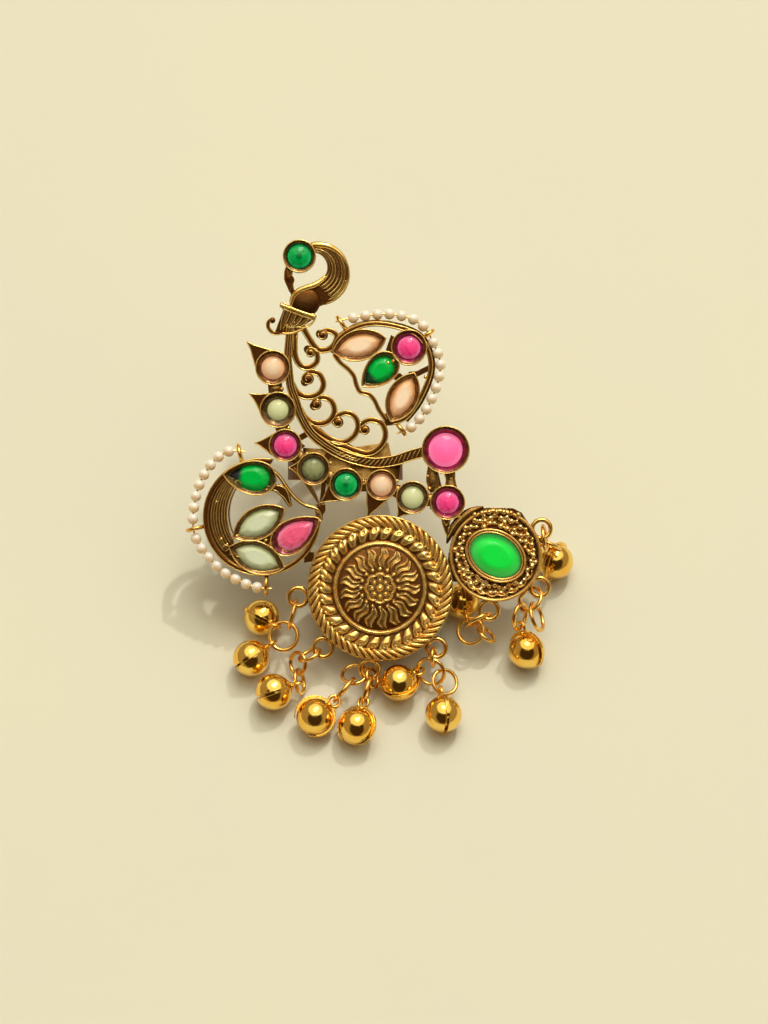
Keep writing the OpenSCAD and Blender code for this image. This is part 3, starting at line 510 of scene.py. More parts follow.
# Joints between the settings
# Metal between neighbouring cups, the legs under the large pink stone and the web to the oval
# mount. All of it is one casting with the plate, dark between its bright edges.
base = []
for (u, v, *_), (next_u, next_v, *_) in zip(cups[:7], cups[1:8]):
    base.append(ball(((u + next_u) / 2, (v + next_v) / 2, 0.35), 1.35, 7, 16, 0.5))
legs = [  # line of a leg, its half width at the start, in the middle and at the end
    ([[10.5, 24.3], [10.45, 21.6], [10.9, 19.2]], (0.95, 1.25, 0.9)),
    ([[13.9, 23.3], [14.1, 21.7], [14.2, 20.2]], (1.2, 0.95, 1.25)),
    ([[13.2, 13.9], [13.3, 12.0], [13.9, 9.8]], (1.0, 0.6, 0.3))]
for line, wide in legs:
    base.append(laid(flowing(line), 0.42, swelling(13, [0, 6, 12], wide), 14, rise=0.5))
base.append(sweep(arc(mount_middle, 10.0, 104, 166, 0.45, 34),
                  swelling(34, [0, 8, 16, 24, 33], [0.2, 0.9, 1.05, 0.9, 0.2]), 14, rise=0.5))
# Dark but for the tops: patina and painted shade.
joint_metal = gilt("cast joints", 0.45, 1.7, 0.4, dark=(0.16, 0.055, 0.009, 1))
plate_mesh("setting_joints", *joined(base), joint_metal)
shapes = [sweep(arc(mount_middle, 10.15, 112, 160, 0.96, 30), 0.13, 7),
          laid(flowing([[12.4, 13.2], [12.9, 11.6], [13.6, 9.9]]), 0.62, 0.1)]
for line, wide in legs[:2]:
    way, off = flowing(line), swelling(13, [0, 6, 12], wide) - 0.1
    shapes += [laid(way[1:] + np.outer(off[1:] * side, [1.0, 0.0]), 0.62, 0.1) for side in (-1, 1)]
plate_mesh("joint_lines", *joined(shapes), edge_gold)


# Stem, scrolls and grains
# The stem runs from the bird's neck to the large pink stone, with ribs along it and slanted
# cuts near its end. Wire scrolls grow from it. Grains of solder lie at the joints.
def shifted(line, off):
    """The same line in the plate, moved sideways."""
    line = np.asarray(line, float)
    ahead = np.gradient(line[:, :2], axis=0)
    ahead /= np.linalg.norm(ahead, axis=1)[:, None]
    beside = np.stack([-ahead[:, 1], ahead[:, 0]], 1)
    return line[:, :2] + beside * np.broadcast_to(np.asarray(off, float), (len(line),))[:, None]


def both_edges(line, off, height, thickness):
    """Thin wires along the two edges of a band, that far from its middle line."""
    return [laid(shifted(line, side * off), height, thickness) for side in (-1, 1)]


scroll_lines = [
    [[-17.2, 50.5], [-17, 46.6], [-15.9, 44.5], [-14.1, 44.1], [-12.6, 45.3], [-12.8, 47.2], [-14.4, 47.7]],
    [[-17.6, 41], [-16.5, 39], [-14.5, 38.2], [-12.3, 38.8], [-11.3, 40.6], [-12, 42.6], [-13.8, 43.2],
     [-15.1, 42.2], [-15, 41.2]],
    [[-16, 35.8], [-14.7, 33.8], [-12.3, 32.8], [-10.1, 33.5], [-9.1, 35.5], [-9.8, 37.4], [-11.5, 38.1],
     [-13, 37.4], [-13.2, 36.4]],
    [[-15.1, 33.4], [-12.7, 31.6], [-10.2, 29.9], [-7.8, 29.1], [-5.6, 30], [-4.4, 32.1], [-5, 34.2],
     [-6.8, 35], [-8.5, 34.3], [-8.8, 33.2]],
    [[-10.0, 28.9], [-7.2, 28.3], [-4.6, 27.3], [-2.1, 26.9], [0.1, 28.3], [1.1, 30.5], [0.4, 32.8],
     [-1.7, 33.6], [-3.4, 33], [-3.7, 31.8]],
    [[-15.6, 52.4], [-12.9, 48.1], [-10.7, 47.6], [-9.2, 48.7], [-8.7, 50.5], [-10.4, 51.5], [-12, 50.8]]]
curls = [  # middle and size of the thick end of each scroll
    (-13.9, 47.0, 0.95), (-14.35, 41.8, 1.2), (-12.7, 36.7, 1.1), (-8.35, 33.1, 1.1), (-3.0, 31.6, 1.0),
    (-11.4, 50.55, 1.05)]
base, shapes = [], []
for line, (u, v, size) in zip(scroll_lines, curls):
    way = flowing(line)
    base.append(laid(way, 0.46, np.linspace(0.66, 0.56, len(way)), 10, rise=0.45))
    shapes += both_edges(way, np.linspace(0.48, 0.4, len(way)), 0.64, 0.13)
    base.append(ball((u, v, 0.6), size, 7, 16, flat=0.5))
    entry = np.array(line[-1]) - np.array([u, v])
    came = np.array(line[-1]) - np.array(line[-2])
    sense = 1 if entry[0] * came[1] - entry[1] * came[0] > 0 else -1
    t = np.linspace(0, 1, 20)
    far = size * (0.92 - 0.55 * t)
    a = math.atan2(entry[1], entry[0]) + sense * t * 6.6
    rise = 0.6 + 0.5 * np.sqrt(size ** 2 - far ** 2)
    shapes.append(sweep(round_line((u, v), far, a, rise), 0.1, 6))
way = flowing([[-17.9, 52.6], [-18.4, 46.5], [-18.2, 43.4], [-17.8, 40.1], [-16.8, 37.2], [-15.9, 34.5],
               [-14, 31.2], [-11.6, 29], [-8.6, 27.1], [-5, 25.7], [-1, 25], [3, 25.5], [6.4, 26.6],
               [9.6, 27.4]])
half = np.linspace(0.75, 1.1, len(way))
shapes += both_edges(way, half - 0.1, 0.86, 0.13)
ribbed = int(len(way) * 0.72)
for off in (-0.2, 0.26):
    shapes.append(laid(shifted(way[:ribbed], off), 0.85, np.linspace(0.1, 0.06, ribbed)))
travel = np.concatenate([[0], np.cumsum(np.linalg.norm(np.diff(way, axis=0), axis=1))])
for s in np.arange(travel[-1] * 0.62, travel[-1] - 0.9, 0.95):  # slanted cuts, by length travelled
    mid, further = (np.array([np.interp(x, travel, way[:, 0]), np.interp(x, travel, way[:, 1])])
                    for x in (s, s + 0.2))
    on = (further - mid) / np.linalg.norm(further - mid)
    beside = np.array([-on[1], on[0]])
    t = np.linspace(-1, 1, 6)[:, None]
    strand = mid + on * t * 0.75 + beside * t * 0.8
    shapes.append(laid(strand, 0.81, 0.1 * np.sqrt(1.04 - np.linspace(-1, 1, 6) ** 2)))
second = flowing([[-16.8, 53.4], [-16.9, 50], [-16.9, 47.6]])
shapes += both_edges(second, 0.36, 0.76, 0.11)
grain_spots = [  # place and size
    (-28.6, 10.4, 0.42), (-34.3, 17.9, 0.3), (-32.6, 17.3, 0.3), (-31.7, 9.9, 0.34), (-30.5, 8.8, 0.3),
    (-22.8, 9.6, 0.5), (-21.9, 8.9, 0.4), (-22.6, 19.6, 0.35), (-14.6, 26.9, 0.4), (-9.9, 25.0, 0.4),
    (-3.3, 21.4, 0.4), (3.4, 21.4, 0.4), (9.9, 19.9, 0.45), (10.3, 16.0, 0.4), (2.7, 45.4, 0.45),
    (1.6, 45.0, 0.4), (9.1, 42.2, 0.4), (-19.6, 39.8, 0.45), (-18.3, 32.0, 0.45), (15.7, 14.4, 0.45),
    (14.2, 21.9, 0.35), (9.6, 22.4, 0.35)]
for u, v, size in grain_spots:
    shapes.append(ball((u, v, 0.8), size, 6, 9))
plate_mesh("scroll_bands", *joined(base), aged_and_shaded_metal)
plate_mesh("stem_and_scroll_wires", *joined(shapes), edge_gold)


# Bird's head and neck
# A bent neck with fine ribs and a thick bright edge, a domed head with a double collar, and a
# beak that is cut like a fan and ends in a curl. All of it is the same casting.
neck_outer, neck_inner, neck_size = np.array([-12.3, 62.8]), np.array([-13.6, 64.1]), 6.2  # mm
head_u, head_v, head_high = -15.0, 57.2, 0.9  # mm, middle of the dome
head_size, head_slope = (3.1, 2.98, 0.75), -16  # mm and degrees


def outside_cup(line, thickness):
    """The part of a line that lies outside the head stone's cup, and its thickness."""
    u, v, size, *_ = cups[head_cup]
    kept = np.hypot(line[:, 0] - u, line[:, 1] - v) > size - 0.1
    return line[kept], np.broadcast_to(thickness, (len(line),))[kept]


base, shapes = [], []
for k in range(7):
    middle = neck_inner + (neck_outer - neck_inner) * (k + 0.7) / 6.8
    line = arc(middle, 3.35 + 0.44 * k, -72 + 2 * k, 106, 0.98, 36)
    thick = 0.03 + 0.05 * np.sin(np.linspace(0.1, 3.04, 36)) + swelling(36, [0, 3, 11], [0.05, 0.12, 0.0])
    shapes.append(sweep(*outside_cup(line, thick), 6))
edge_wire = np.interp(np.linspace(-76, 118, 70), [-76, -20, 5, 35, 85, 118],
                      [0.1, 0.14, 0.16, 0.44, 0.74, 0.5])
edge_line = arc(neck_outer, neck_size - 0.6 * edge_wire, -76, 118, 0.8, 70)
shapes.append(sweep(*outside_cup(edge_line, edge_wire), 9))
shapes.append(sweep(arc(neck_outer, 5.6, -70, -14, 0.95, 26), 0.09, 6))
shapes.append(sweep(*outside_cup(arc(neck_inner, 3.15, -40, 112, 0.74, 40), 0.1), 6))
brim = flowing([[-10.9, 62.3], [-12.0, 61.2], [-13.4, 60.4], [-15.0, 59.9], [-16.3, 59.3], [-17.2, 58.3],
                [-17.6, 57.2], [-17.8, 56.4]])
brim_height = swelling(len(brim), [0, 14, 42], [0.85, 1.2, 1.15])
shapes.append(sweep(np.hstack([brim, brim_height[:, None]]),
                    swelling(len(brim), [0, 10, 26, 42], [0.3, 0.62, 0.6, 0.25]), 9))
shapes.append(laid(flowing([[-20.0, 56.7], [-16.6, 55.45], [-12.7, 54.1]]), 1.26, 0.3, 9))
shapes.append(laid(flowing([[-19.6, 55.9], [-16.7, 54.75], [-12.9, 53.5]]), 1.0, 0.17, 8))
for k in range(6):
    start = np.array([-19.0 + 1.2 * k, 55.7 - 0.44 * k])
    end = np.array([-19.9 + 0.55 * k, 51.5 + 0.12 * k])
    bend = (start + end) / 2 + np.array([0.2 * (k - 1), -0.12 * k])
    shapes.append(laid(flowing([start, bend, end], 4), 1.02, 0.1))
shapes.append(laid(flowing([[-13.0, 53.5], [-15.4, 51.8], [-17.6, 50.9], [-19.6, 50.9]]), 0.85,
                    swelling(19, [0, 10, 18], [0.12, 0.26, 0.24]), 8))
hook = flowing([[-19.4, 51.2], [-21, 50.9], [-22.2, 51.8], [-22.3, 53.1], [-21.4, 53.8]])
base.append(laid(hook, 0.56, 0.42, 9, rise=0.6))
base.append(ball((-21.5, 53.5, 0.6), 0.62, 6, 12, 0.6))
shapes += [laid(shifted(hook, off), 0.68, 0.1) for off in (0.3, -0.3)]
stalk = flowing([[-18.5, 63.9], [-18.3, 61.9], [-17.5, 59.4]])
bulge = swelling(13, [0, 6, 12], [0.5, 0.9, 0.3])
base.append(laid(stalk, 0.62, bulge, 12, rise=0.5))
shapes += both_edges(stalk, bulge - 0.08, 0.72, 0.1)
plate_mesh("bird_wires", *joined(shapes), edge_gold)
plate_mesh("bird_bands", *joined(base), aged_and_shaded_metal)
# Dark but for its top: patina and painted shade.
dome_metal = gilt("dark polished dome", 1.4, 3.2, 0.2, dark=(0.14, 0.05, 0.009, 1))
points, faces = ball((0, 0, 0), 1.0, 12, 28)
points = points * head_size
points = set_at(points, head_u, head_v, head_slope, head_high + points[:, 2])
plate_mesh("bird_dome", points, faces, dome_metal)


# Left disc and upper leaf cluster
# The round frame on the left has fine ribs in its crescent, a hooked beak and a hair line. The
# upper cluster is a leaf framed by two wires. Both are the same casting.
disc_middle, inner_middle = np.array([-23.6, 14.2]), np.array([-20.3, 14.9])
band_size, outer_edge, inner_edge, crescent_size = 11.28, 11.66, 10.9, 10.65  # mm, radii
base = [sweep(arc(disc_middle, band_size, 80, 358, 1.1, 110), 0.5, 9, rise=0.4)]
shapes = [sweep(arc(disc_middle, outer_edge, 80, 358, 1.16, 110), 0.12, 6),
          sweep(arc(disc_middle, inner_edge, 232, 358, 1.16, 60), 0.1, 6)]
for k in range(8):
    middle = disc_middle + (inner_middle - disc_middle) * (k + 0.6) / 8.2
    line = arc(middle, 10.4 - 0.13 * k, 129 + 1.1 * k, 221 - 1.5 * k, 1.0, 34)
    shapes.append(sweep(line, 0.03 + 0.06 * np.sin(np.linspace(0.15, 3.0, 34)), 6))
shapes.append(sweep(arc(inner_middle, crescent_size, 138, 214, 0.66, 40),
                    0.1 + 0.22 * np.sin(np.linspace(0.05, 3.1, 40)), 8))
beak = flowing([[-22.6, 20], [-20.4, 19.9], [-18.9, 18.6], [-17.9, 16.2]])
wide = swelling(len(beak), [0, len(beak) / 2, len(beak) - 1], [0.2, 0.8, 0.05])
shapes += both_edges(beak, wide, 0.9, 0.1)
hair = flowing([[-22.4, 24.4], [-20.2, 22.4], [-18.4, 19.8], [-16.9, 18], [-15, 16.6], [-13, 16],
                [-11.9, 15.2], [-11.8, 13.6]])
shapes.append(laid(hair, 0.7, 0.2, 8, rise=0.7))
for k in range(4):  # crossed cuts where the ribs end
    low = np.array([-31.6 + 0.75 * k, 8.1 - 0.75 * k])
    shapes.append(laid([low, low + [0.75, 0.55], low + [1.5, 0.1]], 0.95, 0.12))
outer_line = [[-9.4, 46.9], [-8.2, 49.9], [-4.9, 52], [-1.2, 52.8], [3, 52.3], [6.8, 51], [8.9, 49],
              [10, 46], [10, 43], [8.8, 39.6], [7.2, 36.6], [5, 33.9], [2.4, 33]]
inner_line = [[-9.2, 46.8], [-8, 45.1], [-6.3, 43.7], [-5.2, 42.3], [-4.7, 40.5], [-3.9, 39.2],
              [-2.2, 38.7], [-1.1, 37.5], [-0.2, 35.6], [1.2, 33.6]]
for line, height in ((outer_line, 1.06), (inner_line, 0.96)):
    way = flowing(line)
    base.append(laid(way, height, 0.46, 9, rise=0.4))
    shapes += both_edges(way, 0.34, height + 0.08, 0.11)
plate_mesh("disc_and_cluster_bands", *joined(base), aged_and_shaded_metal)
plate_mesh("disc_and_cluster_wires", *joined(shapes), edge_gold)


# Wire loops
# Round gold-plated wire soldered to the edge of the casting. Six small loops hold the ends of
# the pearl wires and seven larger ones carry the jump rings of the bells.
def bumpy(tree, shader, strength, distance, height):
    bump = put(tree, "Bump", {"Strength": strength, "Distance": distance, "Height": height})
    tree.links.new(bump.outputs[0], shader.inputs["Normal"])


wire_gold, tree, shader = finish_material("gold wire", bright_gold, {"Metallic": 1.0, "Coat Weight": 0.1})
spot = place_on_plate(tree)
cloud = noise(tree, spot, 0.5, 3.0)
drawn = noise(tree, spot, 5.0, 3.0)
tone = fade(tree, cloud, 0.35, 0.65, (1.0, 0.64, 0.17, 1), (0.74, 0.38, 0.07, 1))
feed(tree, shader, {"Base Color": tone, "Roughness": ramp(tree, drawn, 0.3, 0.7, 0.12, 0.26)})
bumpy(tree, shader, 0.3, 0.00004, drawn)
bell_loop_size, bell_loop_wire, pearl_loop_wire = 1.85, 0.46, 0.42  # mm
pearl_loops = [  # place, radius, direction in which the loop stands out
    (-7.65, 52.9, 1.5, 125), (9.6, 50.75, 1.25, 35), (4.2, 31.8, 1.3, 307), (-28, 26.9, 1.7, 104),
    (-36.9, 11.9, 1.6, 194), (-22.75, 0.55, 1.7, 268)]
shapes = []
for u, v, size, out in pearl_loops:
    a = np.arange(36) * math.tau / 36
    c, s = math.cos(math.radians(out)), math.sin(math.radians(out))
    loop = np.stack([u + size * np.cos(a) * c, v + size * np.cos(a) * s, size * np.sin(a)], 1)
    shapes.append(sweep(loop, pearl_loop_wire, 9, closed=True, up=(-s, c, 0)))
plate_mesh("pearl_loop_wires", *joined(shapes), wire_gold)
bell_loops = [(-16.4, -1.8), (-11.4, -11.9), (-2.1, -16.2), (11.3, -12), (21.8, -4.4), (31.9, 0.2),
              (32.3, 11.8)]
shapes = [sweep(circle(place, bell_loop_size, 0), bell_loop_wire, 10, closed=True) for place in bell_loops]
plate_mesh("bell_loop_wires", *joined(shapes), wire_gold)


# Glass stones
# Moulded glass with a metal foil behind it, held in the cups: round cabochons, leaves and
# pears with cut facets, and one large oval. Some are clear and bright, some milky.
foiled, given, made = effect("foiled glass", [
    ("Place", "vector", None), ("Body", "colour", (0, 0.5, 0.1, 1)), ("Edge", "colour", (0, 0.7, 0.2, 1)),
    ("Shade", "colour", (0, 0.2, 0.05, 1)), ("Milk", "value", 0.0), ("Depth", "value", 0.5),
    ("Tip_Shadow", "value", 0.0), ("Dark_Reflection", "value", 0.0), ("Cloud", "colour", (0.85, 0.8, 0.72, 1))],
    [("Color", "colour"), ("Roughness", "value")])
place = given["Place"]
flat = put(foiled, "VectorMath", {0: place, 1: (1, 1, 0)}, operation="MULTIPLY").outputs[0]
reach = put(foiled, "VectorMath", {0: flat}, operation="LENGTH").outputs["Value"]
along = put(foiled, "SeparateXYZ", {0: flat}).outputs[0]
cloud = noise(foiled, place, 1.5, 3.0)
wisp = noise(foiled, place, 3.0, 4.0, Distortion=0.6)
wander = sums(foiled, "MULTIPLY_ADD", cloud, 0.4, -0.2)
reach, along = (sums(foiled, "ADD", x, wander) for x in (reach, along))
tone = fade(foiled, reach, 0.62, 0.98, given["Body"], given["Edge"])
for where, low, high, amount, colour in (  # wisps, a painted dark reflection in the middle, milk in the middle and a painted shadow at the tip
        (wisp, 0.45, 0.72, "Depth", given["Shade"]), (reach, 0.36, 0.12, "Dark_Reflection", given["Shade"]),
        (reach, 0.75, 0.3, "Milk", given["Cloud"]), (along, 0.3, 0.62, "Tip_Shadow", (0.012, 0.02, 0.022, 1))):
    part = sums(foiled, "MULTIPLY", ramp(foiled, where, low, high), given[amount])
    tone = blend_colours(foiled, part, tone, colour)
feed(foiled, made, {"Color": tone, "Roughness": ramp(foiled, wisp, 0.3, 0.8, 0.06, 0.16)})

tints = {  # how much it glows, as painted light, then what the effect takes; the rest stays as the effect has it
    "emerald": (0.16, dict(
        Body=(0.0, 0.44, 0.08, 1), Edge=(0.03, 0.72, 0.2, 1), Shade=(0.0, 0.12, 0.025, 1), Depth=0.5,
        Dark_Reflection=0.9)),
    "leaf green": (0.16, dict(
        Body=(0.0, 0.52, 0.06, 1), Edge=(0.0, 0.4, 0.05, 1), Shade=(0.0, 0.4, 0.04, 1), Depth=0.3)),
    "bright green": (0.3, dict(
        Body=(0.01, 0.72, 0.06, 1), Edge=(0.1, 0.74, 0.14, 1), Shade=(0.0, 0.6, 0.05, 1), Depth=0.2)),
    "hot pink": (0.16, dict(
        Body=(1.0, 0.07, 0.3, 1), Edge=(1.0, 0.25, 0.5, 1), Shade=(0.6, 0.0, 0.1, 1), Depth=0.6)),
    "flat pink": (0.35, dict(
        Body=(1.0, 0.16, 0.4, 1), Edge=(1.0, 0.27, 0.5, 1), Shade=(1.0, 0.11, 0.33, 1), Depth=0.3)),
    "warm pink": (0.25, dict(
        Body=(0.84, 0.12, 0.23, 1), Edge=(0.9, 0.26, 0.4, 1), Shade=(0.6, 0.05, 0.14, 1), Depth=0.6)),
    "peach": (0.24, dict(
        Body=(0.84, 0.55, 0.3, 1), Edge=(0.9, 0.52, 0.27, 1), Shade=(0.74, 0.5, 0.32, 1), Depth=0.4,
        Milk=0.9, Cloud=(0.84, 0.66, 0.44, 1))),
    "amber peach": (0.24, dict(
        Body=(0.88, 0.52, 0.24, 1), Edge=(0.52, 0.2, 0.05, 1), Shade=(0.66, 0.4, 0.24, 1), Depth=0.5,
        Milk=0.85, Cloud=(0.95, 0.78, 0.56, 1))),
    "pale green": (0.24, dict(
        Body=(0.64, 0.66, 0.34, 1), Edge=(0.6, 0.6, 0.28, 1), Shade=(0.56, 0.6, 0.28, 1), Depth=0.5,
        Milk=0.6, Cloud=(0.68, 0.7, 0.4, 1))),
    "grey green": (0.16, dict(
        Body=(0.3, 0.31, 0.12, 1), Edge=(0.2, 0.2, 0.08, 1), Shade=(0.12, 0.14, 0.06, 1), Depth=0.7,
        Milk=0.3, Cloud=(0.4, 0.44, 0.24, 1))),
    "mint": (0.2, dict(
        Body=(0.58, 0.62, 0.35, 1), Edge=(0.34, 0.35, 0.14, 1), Shade=(0.44, 0.48, 0.26, 1), Depth=0.5,
        Milk=0.8, Cloud=(0.7, 0.76, 0.54, 1)))}


def glass(name, u, v, slope, long, wide, tint, soft=0.0002, tip_shadow=0.0):
    """Foiled glass for one stone. Its tones follow the stone's own middle and size."""
    painted_glow, tones = tints[tint]
    # The stone glows in its own colour by the amount in its tint: painted light.
    material, tree, shader = finish_material(name + " glass", tones["Body"], {
        "IOR": 1.5, "Specular IOR Level": 0.3, "Coat Weight": 0.25, "Coat Roughness": 0.04,
        "Transmission Weight": 0.08, "Emission Strength": painted_glow})
    spot = put(tree, "TexCoord").outputs["Object"]
    turned = Matrix.Rotation(plate_tilt, 3, "X") @ Matrix.Rotation(math.radians(slope), 3, "Z")
    place = put(tree, "Mapping", {0: spot, 1: in_room([(u, v, 0)])[0], 2: tuple(turned.to_euler("XYZ")),
                                  3: (long / 2000, wide / 2000, 0.002)}, vector_type="TEXTURE").outputs[0]
    colour, roughness = put(tree, "Group", {"Place": place, "Tip_Shadow": tip_shadow, **tones}, node_tree=foiled).outputs
    feed(tree, shader, {"Base Color": colour, "Emission Color": colour, "Roughness": roughness,
                        "Normal": put(tree, "Bevel", {0: soft}, samples=6).outputs[0]})
    return material


row_tints = ["peach", "pale green", "hot pink", "grey green", "emerald", "peach", "pale green", "hot pink"]
round_stones = [("stone_row_%d" % (i + 1), i, tint) for i, tint in enumerate(row_tints)]
round_stones += [("stone_head", head_cup, "emerald"), ("stone_big_pink", big_cup, "flat pink"),
                 ("stone_upper_round", round_cup, "hot pink")]
for name, i, tint in round_stones:
    u, v, _, _, stone = cups[i]
    finish_node(name, glass(name, u, v, 0, 2 * stone, 2 * stone, tint))
leaf_stones = [  # name, tint and how dark its painted tip shadow is
    ("stone_upper_1", "amber peach", 0.0), ("stone_upper_2", "leaf green", 0.9),
    ("stone_upper_3", "amber peach", 0.0), ("stone_disc_1", "leaf green", 1.0),
    ("stone_disc_2", "mint", 0.0), ("stone_disc_3", "mint", 0.0), ("stone_disc_4", "warm pink", 0.0)]
for (name, tint, tip_shadow), (u, v, long, wide, _, _, slope, _) in zip(leaf_stones, leaf_cups):
    finish_node(name, glass(name, u, v, slope, long, wide, tint, 0.0005, tip_shadow))
finish_node("stone_oval", glass("stone_oval", *mount_middle.tolist(), oval_slope, oval_long, oval_wide,
                                "bright green", 0.0012))


# Collars with painted shade
# The sloping wall between each stone and its rim: plated brass of the cup, painted in the stone's
# colour near the stone as coloured shade, and dark further out for patina and painted shade.
def collar(inner, middle, outer):
    """Points and faces of a wall from the stone up to its rim, in two bands."""
    count = len(inner)
    faces = [(r + k, r + (k + 1) % count, r + count + (k + 1) % count, r + count + k)
             for r in (0, count) for k in range(count)]
    return np.vstack([inner, middle, outer]), faces


def painted_shade_wall(name, dark, light):
    """Plated wall, with painted shade in the stone's colour near the stone, and dark patina and painted shade
    further out.
    """
    material, tree, shader = finish_material(name, dark, {"Metallic": 0.8, "Coat Weight": 0.3,
                                                          "Coat Roughness": 0.1})
    spot = place_on_plate(tree)
    cloud = noise(tree, spot, 0.9, 3.0)
    coloured_shade = fade(tree, cloud, 0.35, 0.7, dark, light)
    dark_wall_shade = fade(tree, cloud, 0.3, 0.75, (0.1, 0.034, 0.006, 1), (0.26, 0.1, 0.02, 1))
    feed(tree, shader, {"Base Color": fade(tree, crest_height(tree), 0.3, 0.75, coloured_shade, dark_wall_shade),
                        "Roughness": ramp(tree, cloud, 0.3, 0.7, 0.2, 0.36)})
    return material


walls = [  # piece, slot, painted shade material, its dark and light tone, numbers of the round and of the leaf cups
    ("magenta_collars", "pink_glass", "magenta film", (0.13, 0.008, 0.03, 1), (0.36, 0.015, 0.085, 1),
     (2, 7, round_cup, big_cup), (6,)),
    ("green_collars", "emerald_glass", "green film", (0.01, 0.05, 0.012, 1), (0.03, 0.13, 0.03, 1),
     (4, head_cup), (1, 3)),
    ("brown_collars", "peach_glass", "amber film", (0.14, 0.053, 0.013, 1), (0.33, 0.145, 0.045, 1),
     (0, 5), (0, 2)),
    ("olive_collars", "pale_green_glass", "olive film", (0.075, 0.048, 0.015, 1), (0.19, 0.135, 0.05, 1),
     (1, 3, 6), (4, 5))]
for name, slot, coloured_shade, dark, light, round_ones, leaf_ones in walls:
    shapes = []
    for u, v, size, top, stone in (cups[i] for i in round_ones):
        shapes.append(collar(circle((u, v), stone + 0.02, 0.58), circle((u, v), size - 0.53, top + 0.01),
                             circle((u, v), size - 0.16, top + 0.015)))
    for u, v, stone_l, stone_w, l, w, slope, pointed in (leaf_cups[i] for i in leaf_ones):
        lines = ((stone_l + 0.24, stone_w + 0.24, 0.62), (l - 1.16, w - 0.98, 1.365),
                 (l - 0.32, w - 0.28, 1.37))
        shapes.append(collar(*(set_at(drop_outline(long, wide, pointed), u, v, slope, height)
                               for long, wide, height in lines)))
    if name == "green_collars":  # the wall round the oval stone
        shapes.append(collar(oval(5.5, 4.1, 1.72), oval(5.85, 4.45, 1.92), oval(6.0, 4.6, 1.93)))
    piece = plate_mesh(name, *joined(shapes), painted_shade_wall(coloured_shade, dark, light), slot)
    mark_crests(piece, np.concatenate([np.repeat([0.0, 0.6, 1.0], len(points) // 3) for points, _ in shapes]))


# Pearl strings
# Imitation seed pearls drilled and strung on a gold wire, which is wound through the small
# loops at each end of its run.
# The pearls glow faintly in their own tone: painted light.
nacre, tree, shader = finish_material("nacre", (0.85, 0.8, 0.72, 1), {
    "Subsurface Weight": 0.1, "Subsurface Scale": 0.0008, "Coat Weight": 0.6, "Coat Roughness": 0.15,
    "Sheen Weight": 0.1, "Emission Strength": 0.08})
spot = place_on_plate(tree)
# Painted reflection: yellow where a pearl faces away from the sky, toward the gold and the lit floor, cream
# where it faces the sky.
painted_reflection_side = facing(tree, put(tree, "NewGeometry").outputs["Normal"], (0.1, 0.6, 0.8))
cloud = noise(tree, spot, 0.8, 3.0)
ripple = noise(tree, spot, 6.0, 2.0)
tone = fade(tree, painted_reflection_side, 0.0, 0.8, (0.9, 0.62, 0.28, 1), (0.88, 0.84, 0.72, 1))
tone = blend_colours(tree, ramp(tree, cloud, 0.4, 0.7, 0.0, 0.5), tone, (0.86, 0.83, 0.76, 1))
feed(tree, shader, {"Base Color": tone, "Emission Color": tone,
                    "Roughness": ramp(tree, ripple, 0.3, 0.7, 0.2, 0.34)})
bumpy(tree, shader, 0.1, 0.00003, ripple)
for run in ("upper", "left"):
    finish_node("pearls_" + run, nacre)
    finish_node("pearl_wire_" + run, wire_gold)


# Jump rings
# Plated brass wire bent into rings, each closed through its neighbours. They hang each bell
# from a loop of the casting.
link_count = 20
for i in range(link_count):
    finish_node("link_%d" % (i + 1), wire_gold)


# Bells
# Each bell is two half shells of thin plated sheet, folded together at a raised rim. A slot
# opposite its loop lets the sound out.
rim_size, lip_size, cap_height = 4.05, 3.62, 3.74  # mm from the middle of a bell
bells = [  # middle of the bell, direction of its loop, turn of its rim
    (-23.8, -6, -5.644, 0.5644, -0.3173, 0.7621, -177.42),
    (-25.8, -14.1, -1.337, 0.8211, 0.5708, -0.0041, 173.01),
    (-21.2, -20.7, 2.172, 0.9434, 0.3196, -0.0889, -1.14),
    (-12.9, -25.4, 4.671, 0.782, 0.5998, -0.1696, -92.42),
    (-4.6, -27.3, 5.682, 0.2641, 0.9396, -0.2177, -119.14),
    (3.8, -18.9, 1.215, 0.7997, 0.4591, -0.3869, -136.17),
    (12.6, -25, 4.459, -0.1102, 0.8669, -0.4861, 14.79),
    (29.4, -12.6, -2.135, -0.2604, 0.9616, 0.0866, -133.16),
    (35.6, 5.2, -11.599, -0.1988, 0.507, 0.8387, -49.43),
    (16.6, -2.8, -7.345, 0.1533, -0.6926, 0.7049, 172.36)]
bell_gold, tree, shader = finish_material("polished bell gold", bright_gold,
                                          {"Metallic": 1.0, "Coat Weight": 0.3})
spot = place_on_plate(tree)
cloud = noise(tree, spot, 0.25, 2.0)
dull = noise(tree, spot, 1.2, 4.0)
tone = fade(tree, cloud, 0.3, 0.7, (1.0, 0.68, 0.15, 1), (0.97, 0.54, 0.07, 1))
feed(tree, shader, {"Base Color": tone, "Roughness": ramp(tree, dull, 0.3, 0.75, 0.05, 0.15)})
bumpy(tree, shader, 0.3, 0.0001, dull)
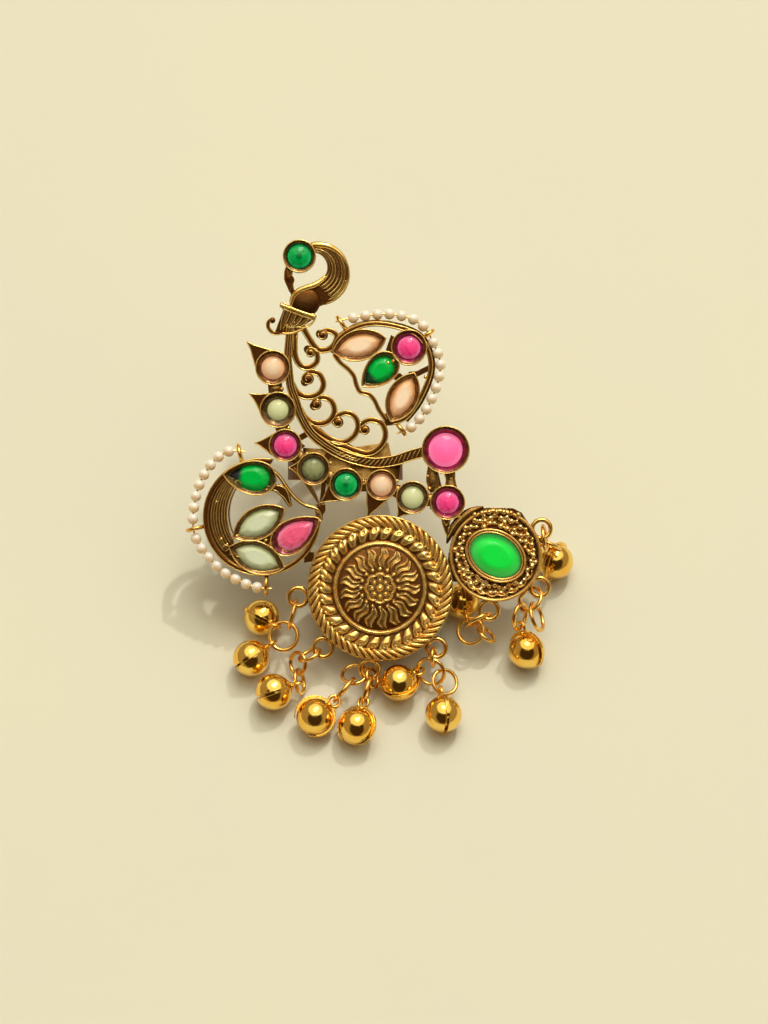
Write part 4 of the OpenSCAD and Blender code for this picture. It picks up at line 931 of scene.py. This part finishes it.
for i, (u, v, w, du, dv, dw, turned) in enumerate(bells):
    finish_node("bell_%d" % (i + 1), bell_gold)
    aim = (Matrix.Rotation(math.atan2(dv, du), 3, "Z") @ Matrix.Rotation(math.acos(dw), 3, "Y")
           @ Matrix.Rotation(math.radians(turned), 3, "Z"))
    shapes = []
    a = np.radians(np.linspace(-57, 237, 96))
    for side in (-1, 1):
        crimp = 0.12 + 0.022 * np.sin(np.arange(96) * 1.7 + i + side)
        rim = np.stack([rim_size * np.cos(a), np.full(96, 0.3 * side), rim_size * np.sin(a)], 1)
        shapes.append(sweep(rim, crimp, 7, up=(0, 1, 0)))
    b = np.radians(np.linspace(237, 303, 24))
    for side in (-1, 1):
        lip = np.stack([lip_size * np.cos(b), np.full(24, 0.44 * side), lip_size * np.sin(b)], 1)
        shapes.append(sweep(lip, 0.13, 6, up=(0, 1, 0)))
    shapes.append(sweep(circle((0, 0), 0.62, cap_height, 20), 0.26, 7, closed=True))
    points, faces = joined(shapes)
    points = points @ np.array(aim).T + np.array([u, v, w])
    plate_mesh("bell_%d_rim" % (i + 1), points, faces, bell_gold)


# Floor, light and camera
# A plain cream sheet in clear light from behind and a little right. A pale sky above fills the
# shadows and shows in the tops of the bells. The dark side of the room shows in their middles.
half_floor = 0.9  # m
corners = [(x * half_floor, y * half_floor, 0) for x, y in ((-1, -1), (1, -1), (1, 1), (-1, 1))]
floor_mesh = bpy.data.meshes.new("floor")
floor_mesh.from_pydata(corners, [], [(0, 1, 2, 3)])
floor = add_object("floor", floor_mesh)
paper, tree, shader = finish_material("cream paper", (0.87, 0.82, 0.62, 1), {"Roughness": 0.8})
spot = put(tree, "TexCoord").outputs["Object"]
mottle = noise(tree, spot, 9.0, 4.0)
fibre = noise(tree, spot, 900.0, 3.0)
tone = fade(tree, mottle, 0.3, 0.7, (0.78, 0.765, 0.58, 1), (0.765, 0.755, 0.6, 1))
feed(tree, shader, {"Base Color": tone})
bumpy(tree, shader, 0.1, 0.0001, fibre)
floor_mesh.materials.append(paper)

view_u, view_v = 0.8, 15.2  # mm, the point of the face in the middle of the picture
view_far, seen_high = 0.7, 0.2048  # m, distance of the camera and height of what it sees there
lamp_far = 2.2  # m
middle = Vector(in_room([(view_u, view_v, 0)])[0])
lamp_light = bpy.data.lights.new("sun lamp", "AREA")
lamp_light.shape = "DISK"
lamp_light.size = 0.08
lamp_light.energy = 11.8
lamp_light.color = (1.0, 0.96, 0.88)
sun_lamp = add_object("sun lamp", lamp_light)
ray = Vector((0.24, 0.5, 0.84)).normalized()
sun_lamp.location = middle + ray * lamp_far
sun_lamp.rotation_euler = (-ray).to_track_quat("-Z", "Y").to_euler()

world = bpy.data.worlds.new("studio")
bpy.context.scene.world = world
world.use_nodes = True
tree = world.node_tree
sky = tree.nodes["Background"]
direction = put(tree, "TexCoord").outputs["Generated"]
dark_side = facing(tree, direction, (0, -0.66, 0.75))
pale_side = facing(tree, direction, (0.06, 0.33, 0.942))
room = fade(tree, dark_side, 0.62, 0.78, (0.37, 0.285, 0.195, 1), (0.05, 0.03, 0.012, 1))
room = fade(tree, pale_side, 0.7, 0.82, room, (1.25, 1.16, 0.98, 1))
room = fade(tree, pale_side, 0.966, 0.984, room, (6.5, 6.2, 5.6, 1))
tree.links.new(room, sky.inputs["Color"])
sky.inputs["Strength"].default_value = 1.0

bpy.context.scene.view_settings.view_transform = "Standard"
view = bpy.data.cameras.new("camera")
view.sensor_width = 36
view.lens = view.sensor_width * view_far / seen_high
view.clip_start, view.clip_end = 0.05, 5
camera = add_object("camera", view)
camera.location = middle + plate_up * view_far
camera.rotation_euler = (plate_tilt, 0, 0)
bpy.context.scene.camera = camera

bpy.context.view_layer.update()
